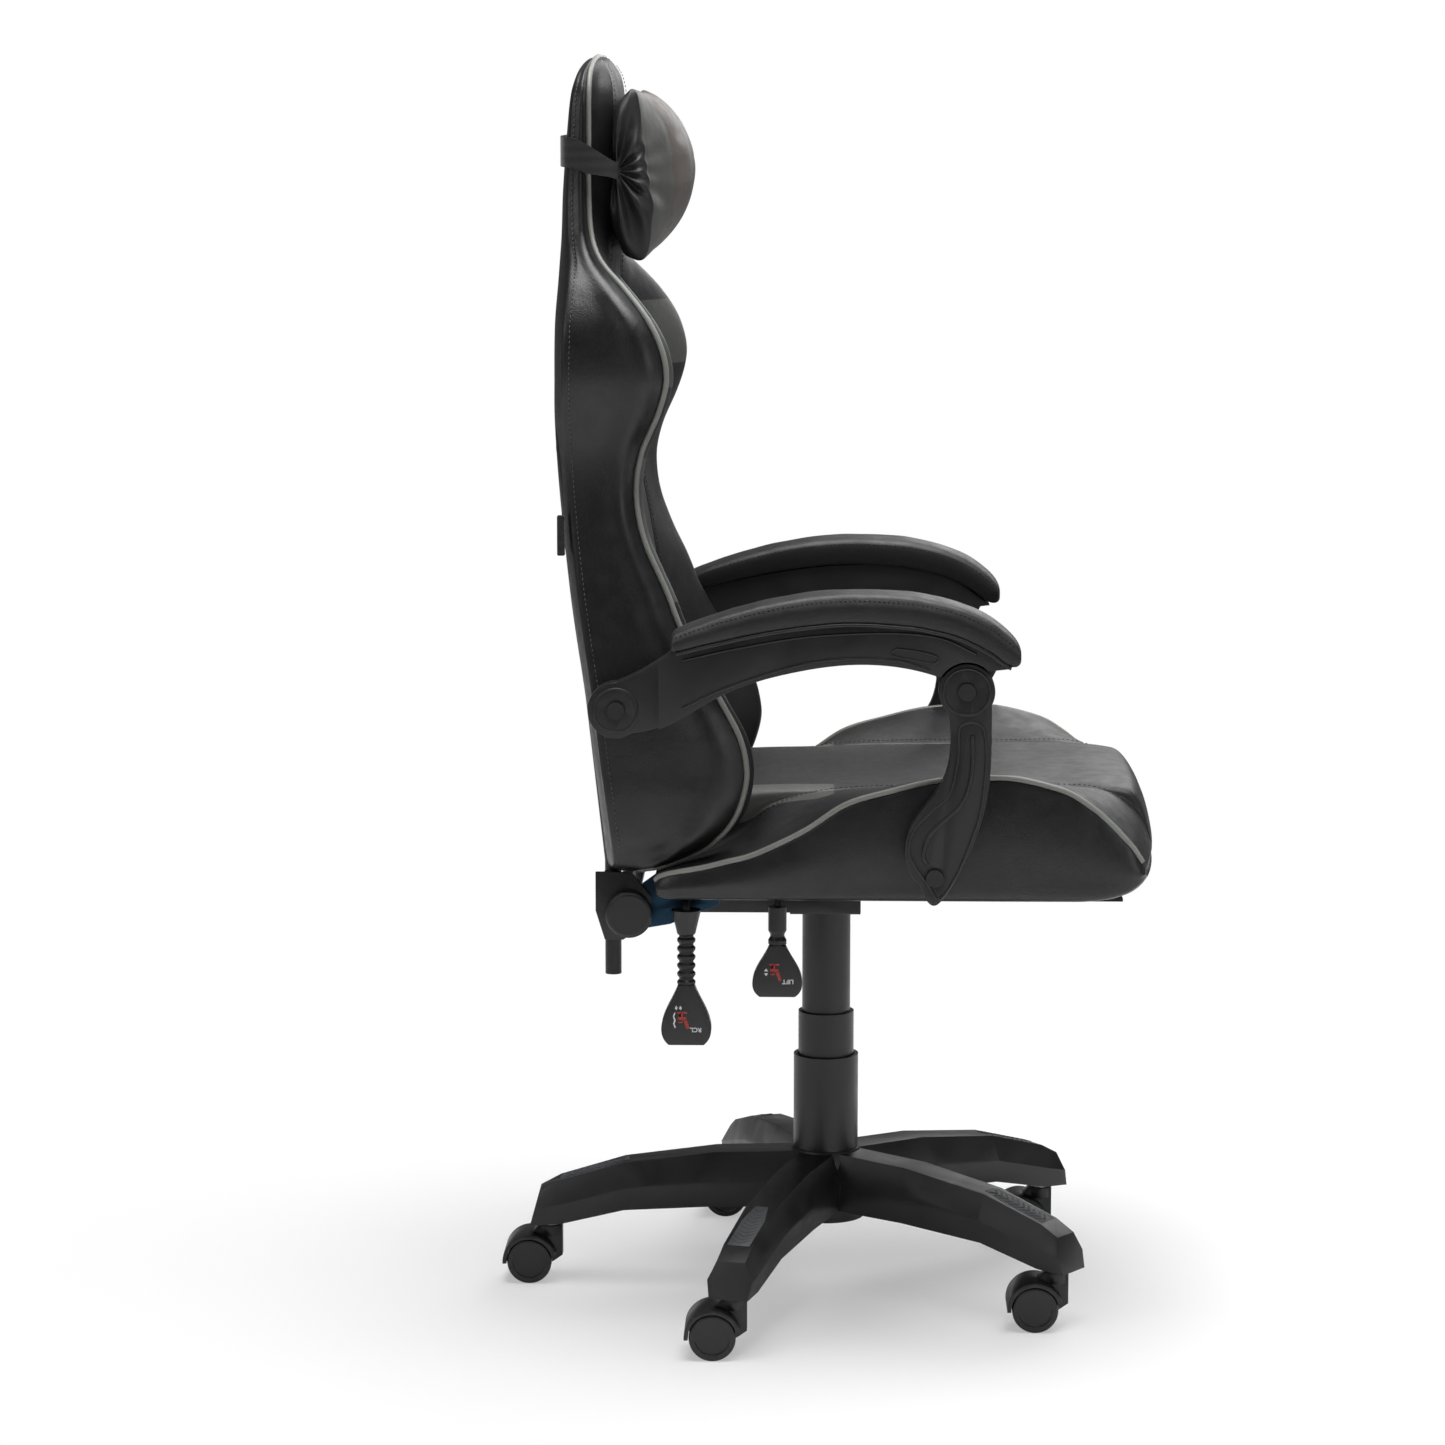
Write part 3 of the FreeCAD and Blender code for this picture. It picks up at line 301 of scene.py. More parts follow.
def metalFinish(name, dark, light, roughness, metallic, grain, depth):
    # steel, plated or powder coated: orange-peel relief and slight drift in tone
    material, shader, place = startMaterial(name, roughness, metallic=metallic)
    peel = addNode(material, "ShaderNodeTexNoise", {"Scale": perMetre(grain), "Detail": 3.0}, {"Vector": (place, "Object")})
    drift = addNode(material, "ShaderNodeTexNoise", {"Scale": perMetre(30), "Detail": 2.0}, {"Vector": (place, "Object")})
    colour = addNode(material, "ShaderNodeMix", {"data_type": "RGBA"}, {"Factor": (drift, "Fac")})
    colour.inputs[6].default_value = linearColour(dark)
    colour.inputs[7].default_value = linearColour(light)
    rough = addNode(material, "ShaderNodeMapRange", {"To Min": roughness - 0.08, "To Max": roughness + 0.1},
                    {"Value": (drift, "Fac")})
    finishSurface(material, shader, (colour, 2), (rough, "Result"), (peel, "Fac"), depth)
    return material


def wovenElastic(name, dark, light, rib):
    # knitted elastic or webbing: ribs across the band, fibres along it
    material, shader, place = startMaterial(name, 0.85, sheen=0.3)
    ribs = addNode(material, "ShaderNodeTexWave", {"bands_direction": "Z", "Scale": perMetre(rib) / 20, "Distortion": 0.4,
                                                   "Detail": 2.0}, {"Vector": (place, "Object")})
    fibres = addNode(material, "ShaderNodeTexNoise", {"Scale": perMetre(1.2), "Detail": 3.0}, {"Vector": (place, "Object")})
    colour = addNode(material, "ShaderNodeMix", {"data_type": "RGBA"}, {"Factor": (ribs, "Fac")})
    colour.inputs[6].default_value = linearColour(dark)
    colour.inputs[7].default_value = linearColour(light)
    rough = addNode(material, "ShaderNodeMapRange", {"To Min": 0.75, "To Max": 0.95}, {"Value": (fibres, "Fac")})
    relief = addNode(material, "ShaderNodeMath", {"operation": "ADD"}, {0: (ribs, "Fac"), 1: (fibres, "Fac")})
    finishSurface(material, shader, (colour, 2), (rough, "Result"), (relief, "Value"), 0.3)
    return material


def printedInk(name, ink, worn):
    # pad-printed ink, slightly worn so that the plastic shows through in specks
    material, shader, place = startMaterial(name, 0.45)
    specks = addNode(material, "ShaderNodeTexNoise", {"Scale": perMetre(1.5), "Detail": 4.0}, {"Vector": (place, "Object")})
    keep = addNode(material, "ShaderNodeMapRange", {"From Min": 0.3, "From Max": 0.42}, {"Value": (specks, "Fac")})
    colour = addNode(material, "ShaderNodeMix", {"data_type": "RGBA"}, {"Factor": (keep, "Result")})
    colour.inputs[6].default_value = linearColour(worn)
    colour.inputs[7].default_value = linearColour(ink)
    rough = addNode(material, "ShaderNodeMapRange", {"To Min": 0.4, "To Max": 0.6}, {"Value": (specks, "Fac")})
    finishSurface(material, shader, (colour, 2), (rough, "Result"), (specks, "Fac"), 0.02)
    return material


blackPu = puLeather("black_polyurethane_leather", "#121113", "#1a181a", 0.3, 0.46, coat=0.05)
blackPuSoft = puLeather("black_polyurethane_leather_front", "#151415", "#1d1b1d", 0.42, 0.58)
greyPu = puLeather("grey_polyurethane_leather", "#434441", "#4d4e4b", 0.44, 0.6)
taupePu = puLeather("taupe_polyurethane_leather", "#4a4542", "#56504c", 0.44, 0.6)
pipingPu = puLeather("grey_piping_leather", "#757772", "#848680", 0.4, 0.55, grain=0.8, depth=0.1)
blackNylon = mouldedPlastic("black_glass_filled_nylon", "#161617", "#212122", 0.36, 0.52)
armNylon = mouldedPlastic("black_arm_polypropylene", "#151516", "#1e1e1f", 0.38, 0.52)
greyNylon = mouldedPlastic("grey_foot_insert_rubber", "#4b4c4f", "#585a5d", 0.5, 0.65)
casterPlastic = mouldedPlastic("black_caster_polypropylene", "#121213", "#1a1a1b", 0.3, 0.42, depth=0.02)
coverPlastic = mouldedPlastic("black_column_cover_polypropylene", "#141415", "#1d1d1e", 0.36, 0.48, depth=0.02)
bellowsRubber = mouldedPlastic("black_moulded_rubber", "#101011", "#171718", 0.38, 0.5, depth=0.03)
leverPlastic = mouldedPlastic("black_lever_abs", "#131314", "#1b1b1c", 0.28, 0.4, depth=0.02)
paintedSteel = metalFinish("black_powder_coated_steel", "#101011", "#18181a", 0.4, 0.0, 2.0, 0.06)
brightSteel = metalFinish("bright_zinc_plated_steel", "#9a9da0", "#b5b8ba", 0.32, 1.0, 1.2, 0.02)
blueZinc = metalFinish("blue_zinc_plated_steel", "#1f3242", "#2b4355", 0.5, 1.0, 1.2, 0.02)
blackElastic = wovenElastic("black_knitted_elastic", "#0f0f10", "#1a1a1c", 1.6)
blackFelt = wovenElastic("black_spunbond_dust_cover", "#111112", "#1a1a1b", 3.0)
seamThread = mouldedPlastic("grey_polyester_thread", "#4a4a4a", "#5c5c5c", 0.7, 0.85, grain=0.5, depth=0.05)
darkThread = mouldedPlastic("black_polyester_thread", "#101011", "#1a1a1b", 0.6, 0.8, grain=0.5, depth=0.05)
redInk = printedInk("red_printed_ink", "#a5322b", "#5c2320")
whiteInk = printedInk("white_printed_ink", "#d8dadb", "#8f9091")
print("materials made")


def paint(piece, *materials):
    panels = [polygon.material_index for polygon in piece.data.polygons]
    piece.data.materials.clear()
    for material in materials:
        piece.data.materials.append(material)
    if len(materials) > 1:
        piece.data.polygons.foreach_set("material_index", panels)


def settle(piece, body, replaced=()):
    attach(piece, body)
    if replaced:
        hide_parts(*replaced)
    return piece


# the back: one upholstered shell, from hip bolsters to headrest
backShape = {
    "columnsPerPanel": 4, "rows": 132, "centreHalfWidthLow": 147, "centreHalfWidthHigh": 118,
    "seamGroove": 2.5, "bolsterRoll": 7, "pipingInset": 13, "pipingRadius": 2.8, "stitchPitch": 5.0,
    # height over the deck, rear face, piping, half width, face of the centre panel
    "stations": [
        (19.5, -221, -186, 192, -176), (26, -222, -160, 206, -161), (42, -223, -124, 216, -153),
        (57, -224, -106, 222, -151), (76, -226, -91, 225, -151), (102, -229, -81.5, 227, -151),
        (125, -232, -79, 227, -152), (157, -236, -86, 227, -155), (195, -241, -106, 226, -160),
        (260, -251, -142, 219, -172), (295, -256, -156, 213, -179), (347, -262, -179, 205, -188),
        (390, -266, -187, 200, -196), (430, -268.5, -182, 203, -203), (470, -270, -165, 216, -209),
        (502, -269.5, -156.5, 227, -213), (530, -269, -160, 229, -215), (560, -268, -174, 225, -217),
        (590, -266, -198, 208, -218), (615, -265, -221, 186, -217), (640, -264, -231, 169, -215),
        (680, -263, -234, 160, -213), (740, -259, -234, 158, -213), (775, -255, -234, 154, -213),
        (793, -249, -233.5, 142, -216), (803, -243, -232, 124, -221), (809, -237, -230, 98, -226),
        (811, -233, -229, 70, -229)],
}
lastPoint = 13      # index of the front centre in the half section
seamSide, seamPiping, seamFoot = 4, 7, 11


def centreHalfWidth(height, half):
    low, high = backShape["centreHalfWidthLow"], backShape["centreHalfWidthHigh"]
    width = low + (high - low) * smoothStep(130, 330, height)
    return min(width, half - 38)


def backSection(height):
    rear, piping, half, face = stationAt(backShape["stations"], height)
    depth = piping - rear
    foot = centreHalfWidth(height, half)
    crest = half - 26
    roll = backShape["bolsterRoll"]
    dip = 4 * smoothStep(60, 110, depth)
    return [(rear, 0), (rear + 1, 0.42 * half), (rear + 4, 0.8 * half), (rear + min(12, 0.28 * depth), 0.962 * half),
            (rear + min(21, 0.5 * depth), half - 1.2), (rear + 0.58 * depth, half - dip),
            (rear + 0.82 * depth, half + 1), (piping, half - backShape["pipingInset"]), (piping + roll, crest),
            (0.5 * (piping + face) + 5, 0.5 * (crest + foot)), (face + 2, foot),
            (face - backShape["seamGroove"], foot - 5), (face + 5, 0.5 * foot), (face + 7, 0)]


def backHeight(v):
    # rows crowd towards the bottom and the top, where the outline turns fastest
    low, high = backShape["stations"][0][0], backShape["stations"][-1][0]
    eased = v - 0.11 * math.sin(2 * math.pi * v)
    return low + (high - low) * eased


def backPlace(u, v):
    height = backHeight(v)
    x, y = ringPoint(backSection(height), u)
    share = (u if u <= 0.5 else 1 - u) * 2 * lastPoint
    pucker = math.exp(-abs(share - seamPiping) * 1.5) * (1 - math.exp(-abs(share - seamPiping) * 9))
    side = 1 if y > 0 else -1
    wave = ripple(x, y, height, 22, 3.0) * 2.4 * pucker + ripple(x, y, height * 0.35, 42, 7.0) * 1.3
    if 4.2 < share < 6.8:
        y += side * wave
    elif share >= 7.2:
        x += wave
    elif share < 3.0:
        x += 0.6 * ripple(0, y, height, 90, 11.0)
    return x, y, height + deckZ


def backLine(index, side, low=0.0, high=1.0, count=150, lift=0.0):
    # points along one seam of the back
    points = []
    for i in range(count + 1):
        v = low + (high - low) * i / count
        height = backHeight(v)
        section = backSection(height)
        x, y = section[index]
        points.append((x + lift, side * y, height + deckZ))
    return points


columns = 2 * lastPoint * backShape["columnsPerPanel"]
def backPanel(u, v):
    # 0 side and rear, 1 front, 2 contrast bands
    share = (u if u <= 0.5 else 1 - u) * 2 * lastPoint
    height = backHeight(v)
    if share < seamPiping:
        return 0
    if share < seamFoot and 497 < height < 566:
        return 2
    if share < seamPiping + 1 and 289 < height < 425:
        return 2
    return 1


back = gridPiece("back_upholstery", columns, backShape["rows"], backPlace, panel=backPanel)
smoothPiece(back, 1)
paint(back, blackPu, blackPuSoft, greyPu)
settle(back, "back", ["back_shell", "back_pad", "back_head", "back_bolster_left", "back_bolster_right"])
print("back upholstered")

pipingLine = backLine(seamPiping, -1) + list(reversed(backLine(seamPiping, 1)))
pipingLine = [(x + 1.0, y * 1.004, z) for x, y, z in pipingLine]
backPiping = tube("back_piping", pipingLine, backShape["pipingRadius"])
paint(backPiping, pipingPu)
settle(backPiping, "back")


def stitchRow(name, points, pitch, length=3.2, radius=0.45, lift=(0, 0, 0)):
    # short thread stitches along a line
    marks = []
    travelled = 0.0
    nextMark = pitch / 2
    for start, end in zip(points, points[1:]):
        start, end = Vector(start), Vector(end)
        run = (end - start).length
        while run > 0 and travelled + run > nextMark:
            share = (nextMark - travelled) / run
            marks.append((start.lerp(end, share) + Vector(lift), (end - start).normalized()))
            nextMark += pitch
        travelled += run
    stitches = []
    deselectAll()
    bpy.ops.mesh.primitive_uv_sphere_add(segments=6, ring_count=4, radius=radius * mm)
    pattern = bpy.context.object
    mesh = bpy.data.meshes.new(name)
    vertices, faces = [], []
    for place, way in marks:
        turn = way.to_track_quat("Z", "Y")
        offset = len(vertices)
        for vertex in pattern.data.vertices:
            stretched = Vector((vertex.co.x, vertex.co.y, vertex.co.z * length / (2 * radius)))
            vertices.append(place * mm + turn @ stretched)
        faces += [[offset + i for i in polygon.vertices] for polygon in pattern.data.polygons]
    mesh.from_pydata(vertices, [], faces)
    bpy.data.objects.remove(pattern)
    piece = bpy.data.objects.new(name, mesh)
    bpy.context.collection.objects.link(piece)
    makeActive(piece)
    bpy.ops.object.shade_smooth()
    return piece


for sideName, side in sides.items():
    seam = [(x, y + side * 1.2, z) for x, y, z in backLine(seamSide, side, 0.1, 0.9)]
    row = stitchRow("back_side_stitches_" + sideName, seam, backShape["stitchPitch"])
    paint(row, seamThread)
    settle(row, "back")
    seam = [(x + 2.4, y, z) for x, y, z in backLine(10, side, 0.06, 0.97)]
    row = stitchRow("back_panel_stitches_" + sideName, seam, backShape["stitchPitch"])
    paint(row, darkThread)
    settle(row, "back")
print("back trimmed")

# the bucket seat: rings across the chair, from the rear edge to the rolled nose
seatShape = {
    "columnsPerPanel": 4, "rows": 120, "centreHalfWidth": 149, "noseBow": 20, "pipingRadius": 2.8, "stitchPitch": 5.0,
    # x, bottom, piping height, half width, foot of the wing, centre height
    "stations": [
        (-169, 7, 11, 228, 9, 9), (-165, 2, 20, 238, 13, 15), (-156, 0, 25, 243, 17, 22), (-148, 0, 27, 245, 20, 60),
        (-141, 0, 28.5, 246, 24, 84), (-118, 0, 33, 247, 33, 90), (-95, 0, 39, 248, 43, 92), (-78, 0, 43, 248, 54, 93),
        (-58, 0, 51, 248, 74, 94), (-20, 0, 70, 248, 89, 95), (18, 0, 95, 248, 95, 96), (60, 0, 108, 248, 97, 97),
        (107, 0, 119, 248, 98, 98), (160, 0, 122, 248, 98, 99), (182, 0, 121, 248, 98, 100),
        (223, 0, 113, 248, 99, 100), (245, 0, 107, 248, 99, 100), (262, 0, 99, 248, 98, 100), (280, 1, 88, 247, 94, 99),
        (296, 3, 74, 246, 86, 97), (306, 6, 63, 245, 78, 94), (313, 9, 55, 244, 70, 86), (319, 13, 46, 242, 60, 73),
        (324, 18, 37, 239, 47, 55), (328, 24, 30, 233, 33, 34)],
}
seatLast = 14


def seatSection(x):
    bottom, crest, half, foot, top = stationAt(seatShape["stations"], x)
    inner = seatShape["centreHalfWidth"]
    groove = 2.5 * smoothStep(30, 8, abs(top - foot)) if abs(top - foot) < 30 else 0
    return [(0, bottom), (0.5 * half, bottom), (0.86 * half, bottom), (half - 6, bottom + 1.5), (half - 1, bottom + 0.12 * (crest - bottom) + 4),
            (half + 1.5, bottom + 0.5 * (crest - bottom)), (half - 1, crest - 0.12 * (crest - bottom)), (half - 5, crest),
            (half - 19, crest + 2), (0.5 * (half - 19 + inner), 0.5 * (crest + foot) + 2), (inner, foot + 1),
            (inner - 4, 0.5 * (foot + top) - groove), (inner - 13, top + 0.5), (0.5 * inner, top + 3), (0, top + 4)]


def seatAlong(v):
    low, high = seatShape["stations"][0][0], seatShape["stations"][-1][0]
    eased = v - 0.1 * math.sin(2 * math.pi * v)
    return low + (high - low) * eased


def bowed(x, y):
    return x - seatShape["noseBow"] * (abs(y) / 248) ** 2.5 * smoothStep(180, 300, x)


def wedgeShare(share, x):
    # the grid line at 10.5 follows the lower edge of the contrast wedge
    edge = 11.7 - 2.3 * min(max((x + 158) / 150, 0), 1)
    if 8 < share <= 10.5:
        return 8 + (share - 8) * (edge - 8) / 2.5
    if 10.5 < share < 12.25:
        return edge + (share - 10.5) * (12.25 - edge) / 1.75
    return share


def seatPlace(u, v):
    x = seatAlong(v)
    z, y = 0, 0
    at = wedgeShare((u if u <= 0.5 else 1 - u) * 2 * seatLast, x)
    y, z = alongCurve(seatSection(x), at / seatLast)
    if u > 0.5:
        y = -y
    side = 1 if y > 0 else -1
    pucker = math.exp(-abs(at - 7) * 1.4) * (1 - math.exp(-abs(at - 7) * 9))
    wave = ripple(x, y, z, 22, 5.0) * 2.6 * pucker + ripple(x * 0.5, y, z, 45, 2.0) * 1.2
    if 4 < at < 6.7:
        y += side * wave
    elif at > 7.3:
        z += wave * 1.1
    return bowed(x, y), y, z + deckZ


seatColumns = 2 * seatLast * seatShape["columnsPerPanel"]


def seatPanel(u, v):
    # 0 outer wall, 1 top, 2 contrast wedge beside the centre panel
    share = (u if u <= 0.5 else 1 - u) * 2 * seatLast
    if share < 7:
        return 0
    return 2 if 10.5 < share < 12.25 and seatAlong(v) < 4 else 1


seat = gridPiece("seat_upholstery", seatColumns, seatShape["rows"], seatPlace, panel=seatPanel)
smoothPiece(seat, 1)
paint(seat, blackPu, blackPuSoft, greyPu)
settle(seat, "seat", ["seat_pad", "seat_wing_left", "seat_wing_right"])


def seatLine(index, side, low, high, count=110):
    points = []
    for i in range(count + 1):
        x = low + (high - low) * i / count
        y, z = seatSection(x)[index]
        points.append((bowed(x, y), side * y, z + deckZ))
    return points


for sideName, side in sides.items():
    line = [(x, y + side * 0.8, z + 0.8) for x, y, z in seatLine(7, side, -166, 323)]
    piece = tube("seat_piping_" + sideName, line, seatShape["pipingRadius"])
    paint(piece, pipingPu)
    settle(piece, "seat")
    seam = [(x, y, z + 1.6) for x, y, z in seatLine(10, side, -70, 300)]
    row = stitchRow("seat_panel_stitches_" + sideName, seam, seatShape["stitchPitch"])
    paint(row, darkThread)
    settle(row, "seat")
print("seat upholstered")

# the armrest pads
padShape = {
    "columns": 48, "rows": 72, "inner": 231.5, "outer": 287.5,
    # x, top, bottom
    "stations": [(-150, 262, 250), (-147, 266.5, 248), (-122, 277, 254), (-74, 292, 265), (-26, 302, 273), (21, 306, 277),
                 (78, 304, 274), (101, 300.5, 270), (127, 293.5, 263), (155, 281, 249), (172, 268, 237), (181, 258, 236),
                 (185, 250, 240)],
}


def padSection(x, side):
    top, bottom = stationAt(padShape["stations"], x)
    inner, outer = padShape["inner"], padShape["outer"]
    middle = 0.5 * (top + bottom)
    width = outer - inner
    drop = 0.24 * (top - bottom)
    return [(inner + 3, bottom), (inner + 0.5, middle - 1), (inner + 1.5, top - drop), (inner + 0.12 * width, top - 0.3 * drop),
            (inner + 0.3 * width, top), (inner + 0.5 * width, top + 0.8), (outer - 0.3 * width, top),
            (outer - 0.12 * width, top - 0.3 * drop), (outer - 2.6, top - drop), (outer + 0.4, middle - 1),
            (outer - 2, bottom + 1),
            (outer - 0.2 * width, bottom), (inner + 0.2 * width, bottom), (inner + 3, bottom)]


def makeArmPad(sideName, side):
    low, high = padShape["stations"][0][0], padShape["stations"][-1][0]

    def place(u, v):
        x = low + (high - low) * (v - 0.09 * math.sin(2 * math.pi * v))
        y, z = alongCurve(padSection(x, side), u)
        z += 0.7 * ripple(x, y, z, 22, 9.0) if z > padSection(x, side)[1][1] else 0
        return x, side * y, z + deckZ
    pad = gridPiece("arm_pad_cover_" + sideName, padShape["columns"], padShape["rows"], place)
    smoothPiece(pad, 1)
    paint(pad, blackPuSoft)
    settle(pad, "arm_" + sideName, ["arm_pad_" + sideName])
    for index, label in ((8, "outer"), (2, "inner")):
        line = []
        for i in range(80):
            x = low + 4 + (high - low - 10) * i / 79
            y, z = padSection(x, side)[index]
            line.append((x, side * (y + (0.7 if index == 8 else -0.7)), z + deckZ))
        row = stitchRow("arm_pad_stitches_" + label + "_" + sideName, line, 4.6, 2.8, 0.4)
        paint(row, darkThread)
        settle(row, "arm_" + sideName)
    bead = []
    for i in range(80):
        x = low + 6 + (high - low - 16) * i / 79
        y, z = padSection(x, side)[10]
        bead.append((x, side * (y - 0.5), z + deckZ - 2.4))
    trim = tube("arm_pad_bead_" + sideName, bead, 1.9)
    paint(trim, armNylon)
    settle(trim, "arm_" + sideName)


for sideName, side in sides.items():
    makeArmPad(sideName, side)
print("arm pads upholstered")

# hard parts with rounded edges
hardParts = {
    "star_base": ("base", "nylon_black", blackNylon, 2.6, 3),
    "base_foot_inserts": ("base", "nylon_grey", greyNylon, 0.5, 1),
    "seat_plate": ("seat", "painted_steel", paintedSteel, 0.8, 2),
    "lift_paddle": ("lift_lever", "lever_black", leverPlastic, 3.5, 4),
    "recline_paddle": ("recline_lever", "lever_black", leverPlastic, 3.5, 4),
}
for sideName in sides:
    hardParts["arm_shell_" + sideName] = ("arm_" + sideName, "nylon_black", armNylon, 1.5, 3)
    hardParts["upright_" + sideName] = ("upright_" + sideName, "nylon_black", armNylon, 1.6, 3)
    hardParts["recliner_upper_" + sideName] = ("back", "painted_steel", paintedSteel, 0.7, 2)
    hardParts["recliner_lower_" + sideName] = ("seat", "zinc_steel", blueZinc, 0.7, 2)
for number in range(1, 6):
    hardParts["caster_fork_%d" % number] = ("caster_%d" % number, "nylon_black", casterPlastic, 1.2, 2)
    hardParts["caster_wheels_%d" % number] = ("wheels_%d" % number, "wheel_black", casterPlastic, 0.5, 1)
for nodeName, (body, slot, material, width, segments) in hardParts.items():
    part = softenedCopy(nodeName, width, segments)
    paint(part, material)
    settle(part, body, [nodeName])
print("hard parts finished")

# ridges moulded on the outer faces of the plastic arms and uprights: x and height over the deck
def ring(centre, radius):
    return [(centre[0] + radius * math.cos(turn * math.pi / 6), centre[1] + radius * math.sin(turn * math.pi / 6))
            for turn in range(12)]


ridges = {
    "arm": [
        ([(98, 231), (68, 240), (20, 242), (-30, 235), (-98, 213), (-138, 194)], False, 276.0, 1.5),
        ([(-138, 240), (-90, 251), (-20, 263), (60, 267), (108, 262), (142, 247)], False, 276.0, 1.3),
        ([(66, 252), (84, 250), (101, 246), (106, 242), (101, 238), (84, 241), (66, 244), (61, 248)], True, 276.0, 1.2),
        (ring((-203, 189.5), 21), True, 262.0, 1.3),
    ],
    "upright": [
        ([(138, 181), (149, 176), (152.5, 150), (151, 122), (147, 92), (140, 70), (132, 48), (122, 27), (108, 9),
          (97, 24), (83, 44), (79, 57), (84, 76), (101, 95), (117, 111), (124, 137), (126, 156), (127, 176)], True, 272.5, 1.5),
        ([(139, 168), (139.5, 146), (137, 122), (128, 100), (112, 85), (98, 70), (93, 52), (97, 42)], False, 272.5, 2.2),
        (ring((133.5, 210), 22.5), True, 272.5, 1.4),
    ],
}


def ridgeAlong(points, closed, face, side):
    loop = points + points[:1] if closed else points
    count = 8 * (len(loop) - 1)
    line = []
    for i in range(count if closed else count + 1):
        x, z = alongCurve(loop, i / count)
        line.append((x, side * face, z + deckZ))
    return line


for part, lines in ridges.items():
    for sideName, side in sides.items():
        made = [tube("ridge", ridgeAlong(points, closed, face, side), radius, closed)
                for points, closed, face, radius in lines]
        piece = joinPieces(made, part + "_ridges_" + sideName)
        paint(piece, armNylon)
        settle(piece, part + "_" + sideName)

# frame parts that keep their own mesh
keptParts = {
    "caster_stems": brightSteel, "column_tube": paintedSteel, "column_bushing": blackNylon, "cover_lower": coverPlastic,
    "cover_middle": coverPlastic, "cover_upper": coverPlastic, "piston_rod": brightSteel, "gas_cylinder": brightSteel,
    "gas_button": brightSteel, "plate_bolts": brightSteel, "seat_frame": paintedSteel, "seat_webbing": blackElastic,
    "seat_board": blackFelt, "upright_bolts": armNylon, "recliner_rod": brightSteel, "lift_rod": paintedSteel,
    "lift_bellows": bellowsRubber, "recline_rod": paintedSteel, "recline_bellows": bellowsRubber,
    "back_frame": paintedSteel, "back_webbing": blackElastic, "arm_bolts": armNylon, "recliner_caps": armNylon,
    "knuckle_pin_left": armNylon, "knuckle_pin_right": armNylon,
}
for nodeName, material in keptParts.items():
    for holder in nodes[nodeName].material_slots:
        holder.material = material
print("frame parts painted")

# neck pillow: closed rings along the chair's width, drawn in at both ends to the strap
pillowShape = {
    "columns": 104, "rows": 116, "bodyHalf": 137, "taupeHalf": 94, "bodyShare": 0.66, "tie": (-207, 1146), "tieHalf": 149,
    "folds": 13, "foldDepth": 4.2, "pressure": 4.0, "cap": 7, "frames": 20,
    # outline of the end seam, and of the middle
    "end": [(-192, 1227), (-186, 1221), (-182, 1205), (-179, 1186), (-176, 1160), (-172, 1134), (-169, 1108),
            (-170, 1082), (-180, 1060), (-197, 1059), (-206, 1080), (-213, 1104), (-211, 1128), (-207, 1146), (-210, 1170),
            (-209, 1198), (-203, 1218)],
    "middle": [(-188, 1223), (-173, 1217), (-158, 1204), (-145, 1184), (-137, 1160), (-136, 1134), (-143, 1108),
               (-158, 1084), (-177, 1066), (-194, 1062), (-204, 1080), (-209, 1104), (-210, 1128), (-210, 1146), (-209, 1170),
               (-207, 1196), (-200, 1214)],
}


def pillowTurn(x, z):
    tieX, tieZ = pillowShape["tie"]
    return math.atan2(z - tieZ, x - tieX)


def pillowPlace(u, v):
    reach = abs(2 * v - 1)
    side = 1 if v > 0.5 else -1
    half, share = pillowShape["bodyHalf"], pillowShape["bodyShare"]
    end, middle = pillowShape["end"], pillowShape["middle"]
    x1, z1 = alongCurve(end + end[:1], u)
    x0, z0 = alongCurve(middle + middle[:1], u)
    towards = smoothStep(0.35, 1.12, min(reach / share, 1)) / smoothStep(0.35, 1.12, 1)
    x, z = x0 + (x1 - x0) * towards, z0 + (z1 - z0) * towards
    tieX, tieZ = pillowShape["tie"]
    turn = pillowTurn(x, z)
    fold = math.cos(pillowShape["folds"] * turn + 2.2 * ripple(x, 0, z, 60, side * 4.0))
    if reach <= share:
        y = half * reach / share
        near = math.exp(-(half - y) / 30)
        pinch = 1 - 0.032 * near * (1 + fold)
        seam = 1.6 * math.exp(-((half - y) / 3.2) ** 2) + 1.0 * math.exp(-((pillowShape["taupeHalf"] - y) / 2.6) ** 2)
        x, z = tieX + (x - tieX) * pinch, tieZ + (z - tieZ) * pinch
        x -= seam * max(math.cos(turn), 0)
        crease = ripple(x, side * y, z, 30, 6.0) * 2.2
        x += crease * max(math.cos(turn), 0)
        return x, side * y, z
    inward = (reach - share) / (1 - share)
    scale = (1 - 0.95 * inward ** 1.15) * (1 - 0.032 * (1 + fold) * (1 - inward))
    swell = math.sin(math.pi * min(inward * 1.15, 1.0)) * 12
    y = half + (pillowShape["tieHalf"] - 4 - half) * inward + swell * (0.55 + 0.25 * (1 - inward))
    y += pillowShape["foldDepth"] * fold * math.sin(math.pi * min(inward * 1.05, 1)) ** 0.7
    return tieX + (x - tieX) * scale, side * min(y, 152.5), tieZ + (z - tieZ) * scale


def pillowPanel(u, v):
    # 0 contrast panel, 1 middle, 2 gathered ends
    reach = abs(2 * v - 1)
    share = pillowShape["bodyShare"]
    if reach > share:
        return 2
    return 1 if reach / share * pillowShape["bodyHalf"] < pillowShape["taupeHalf"] else 0


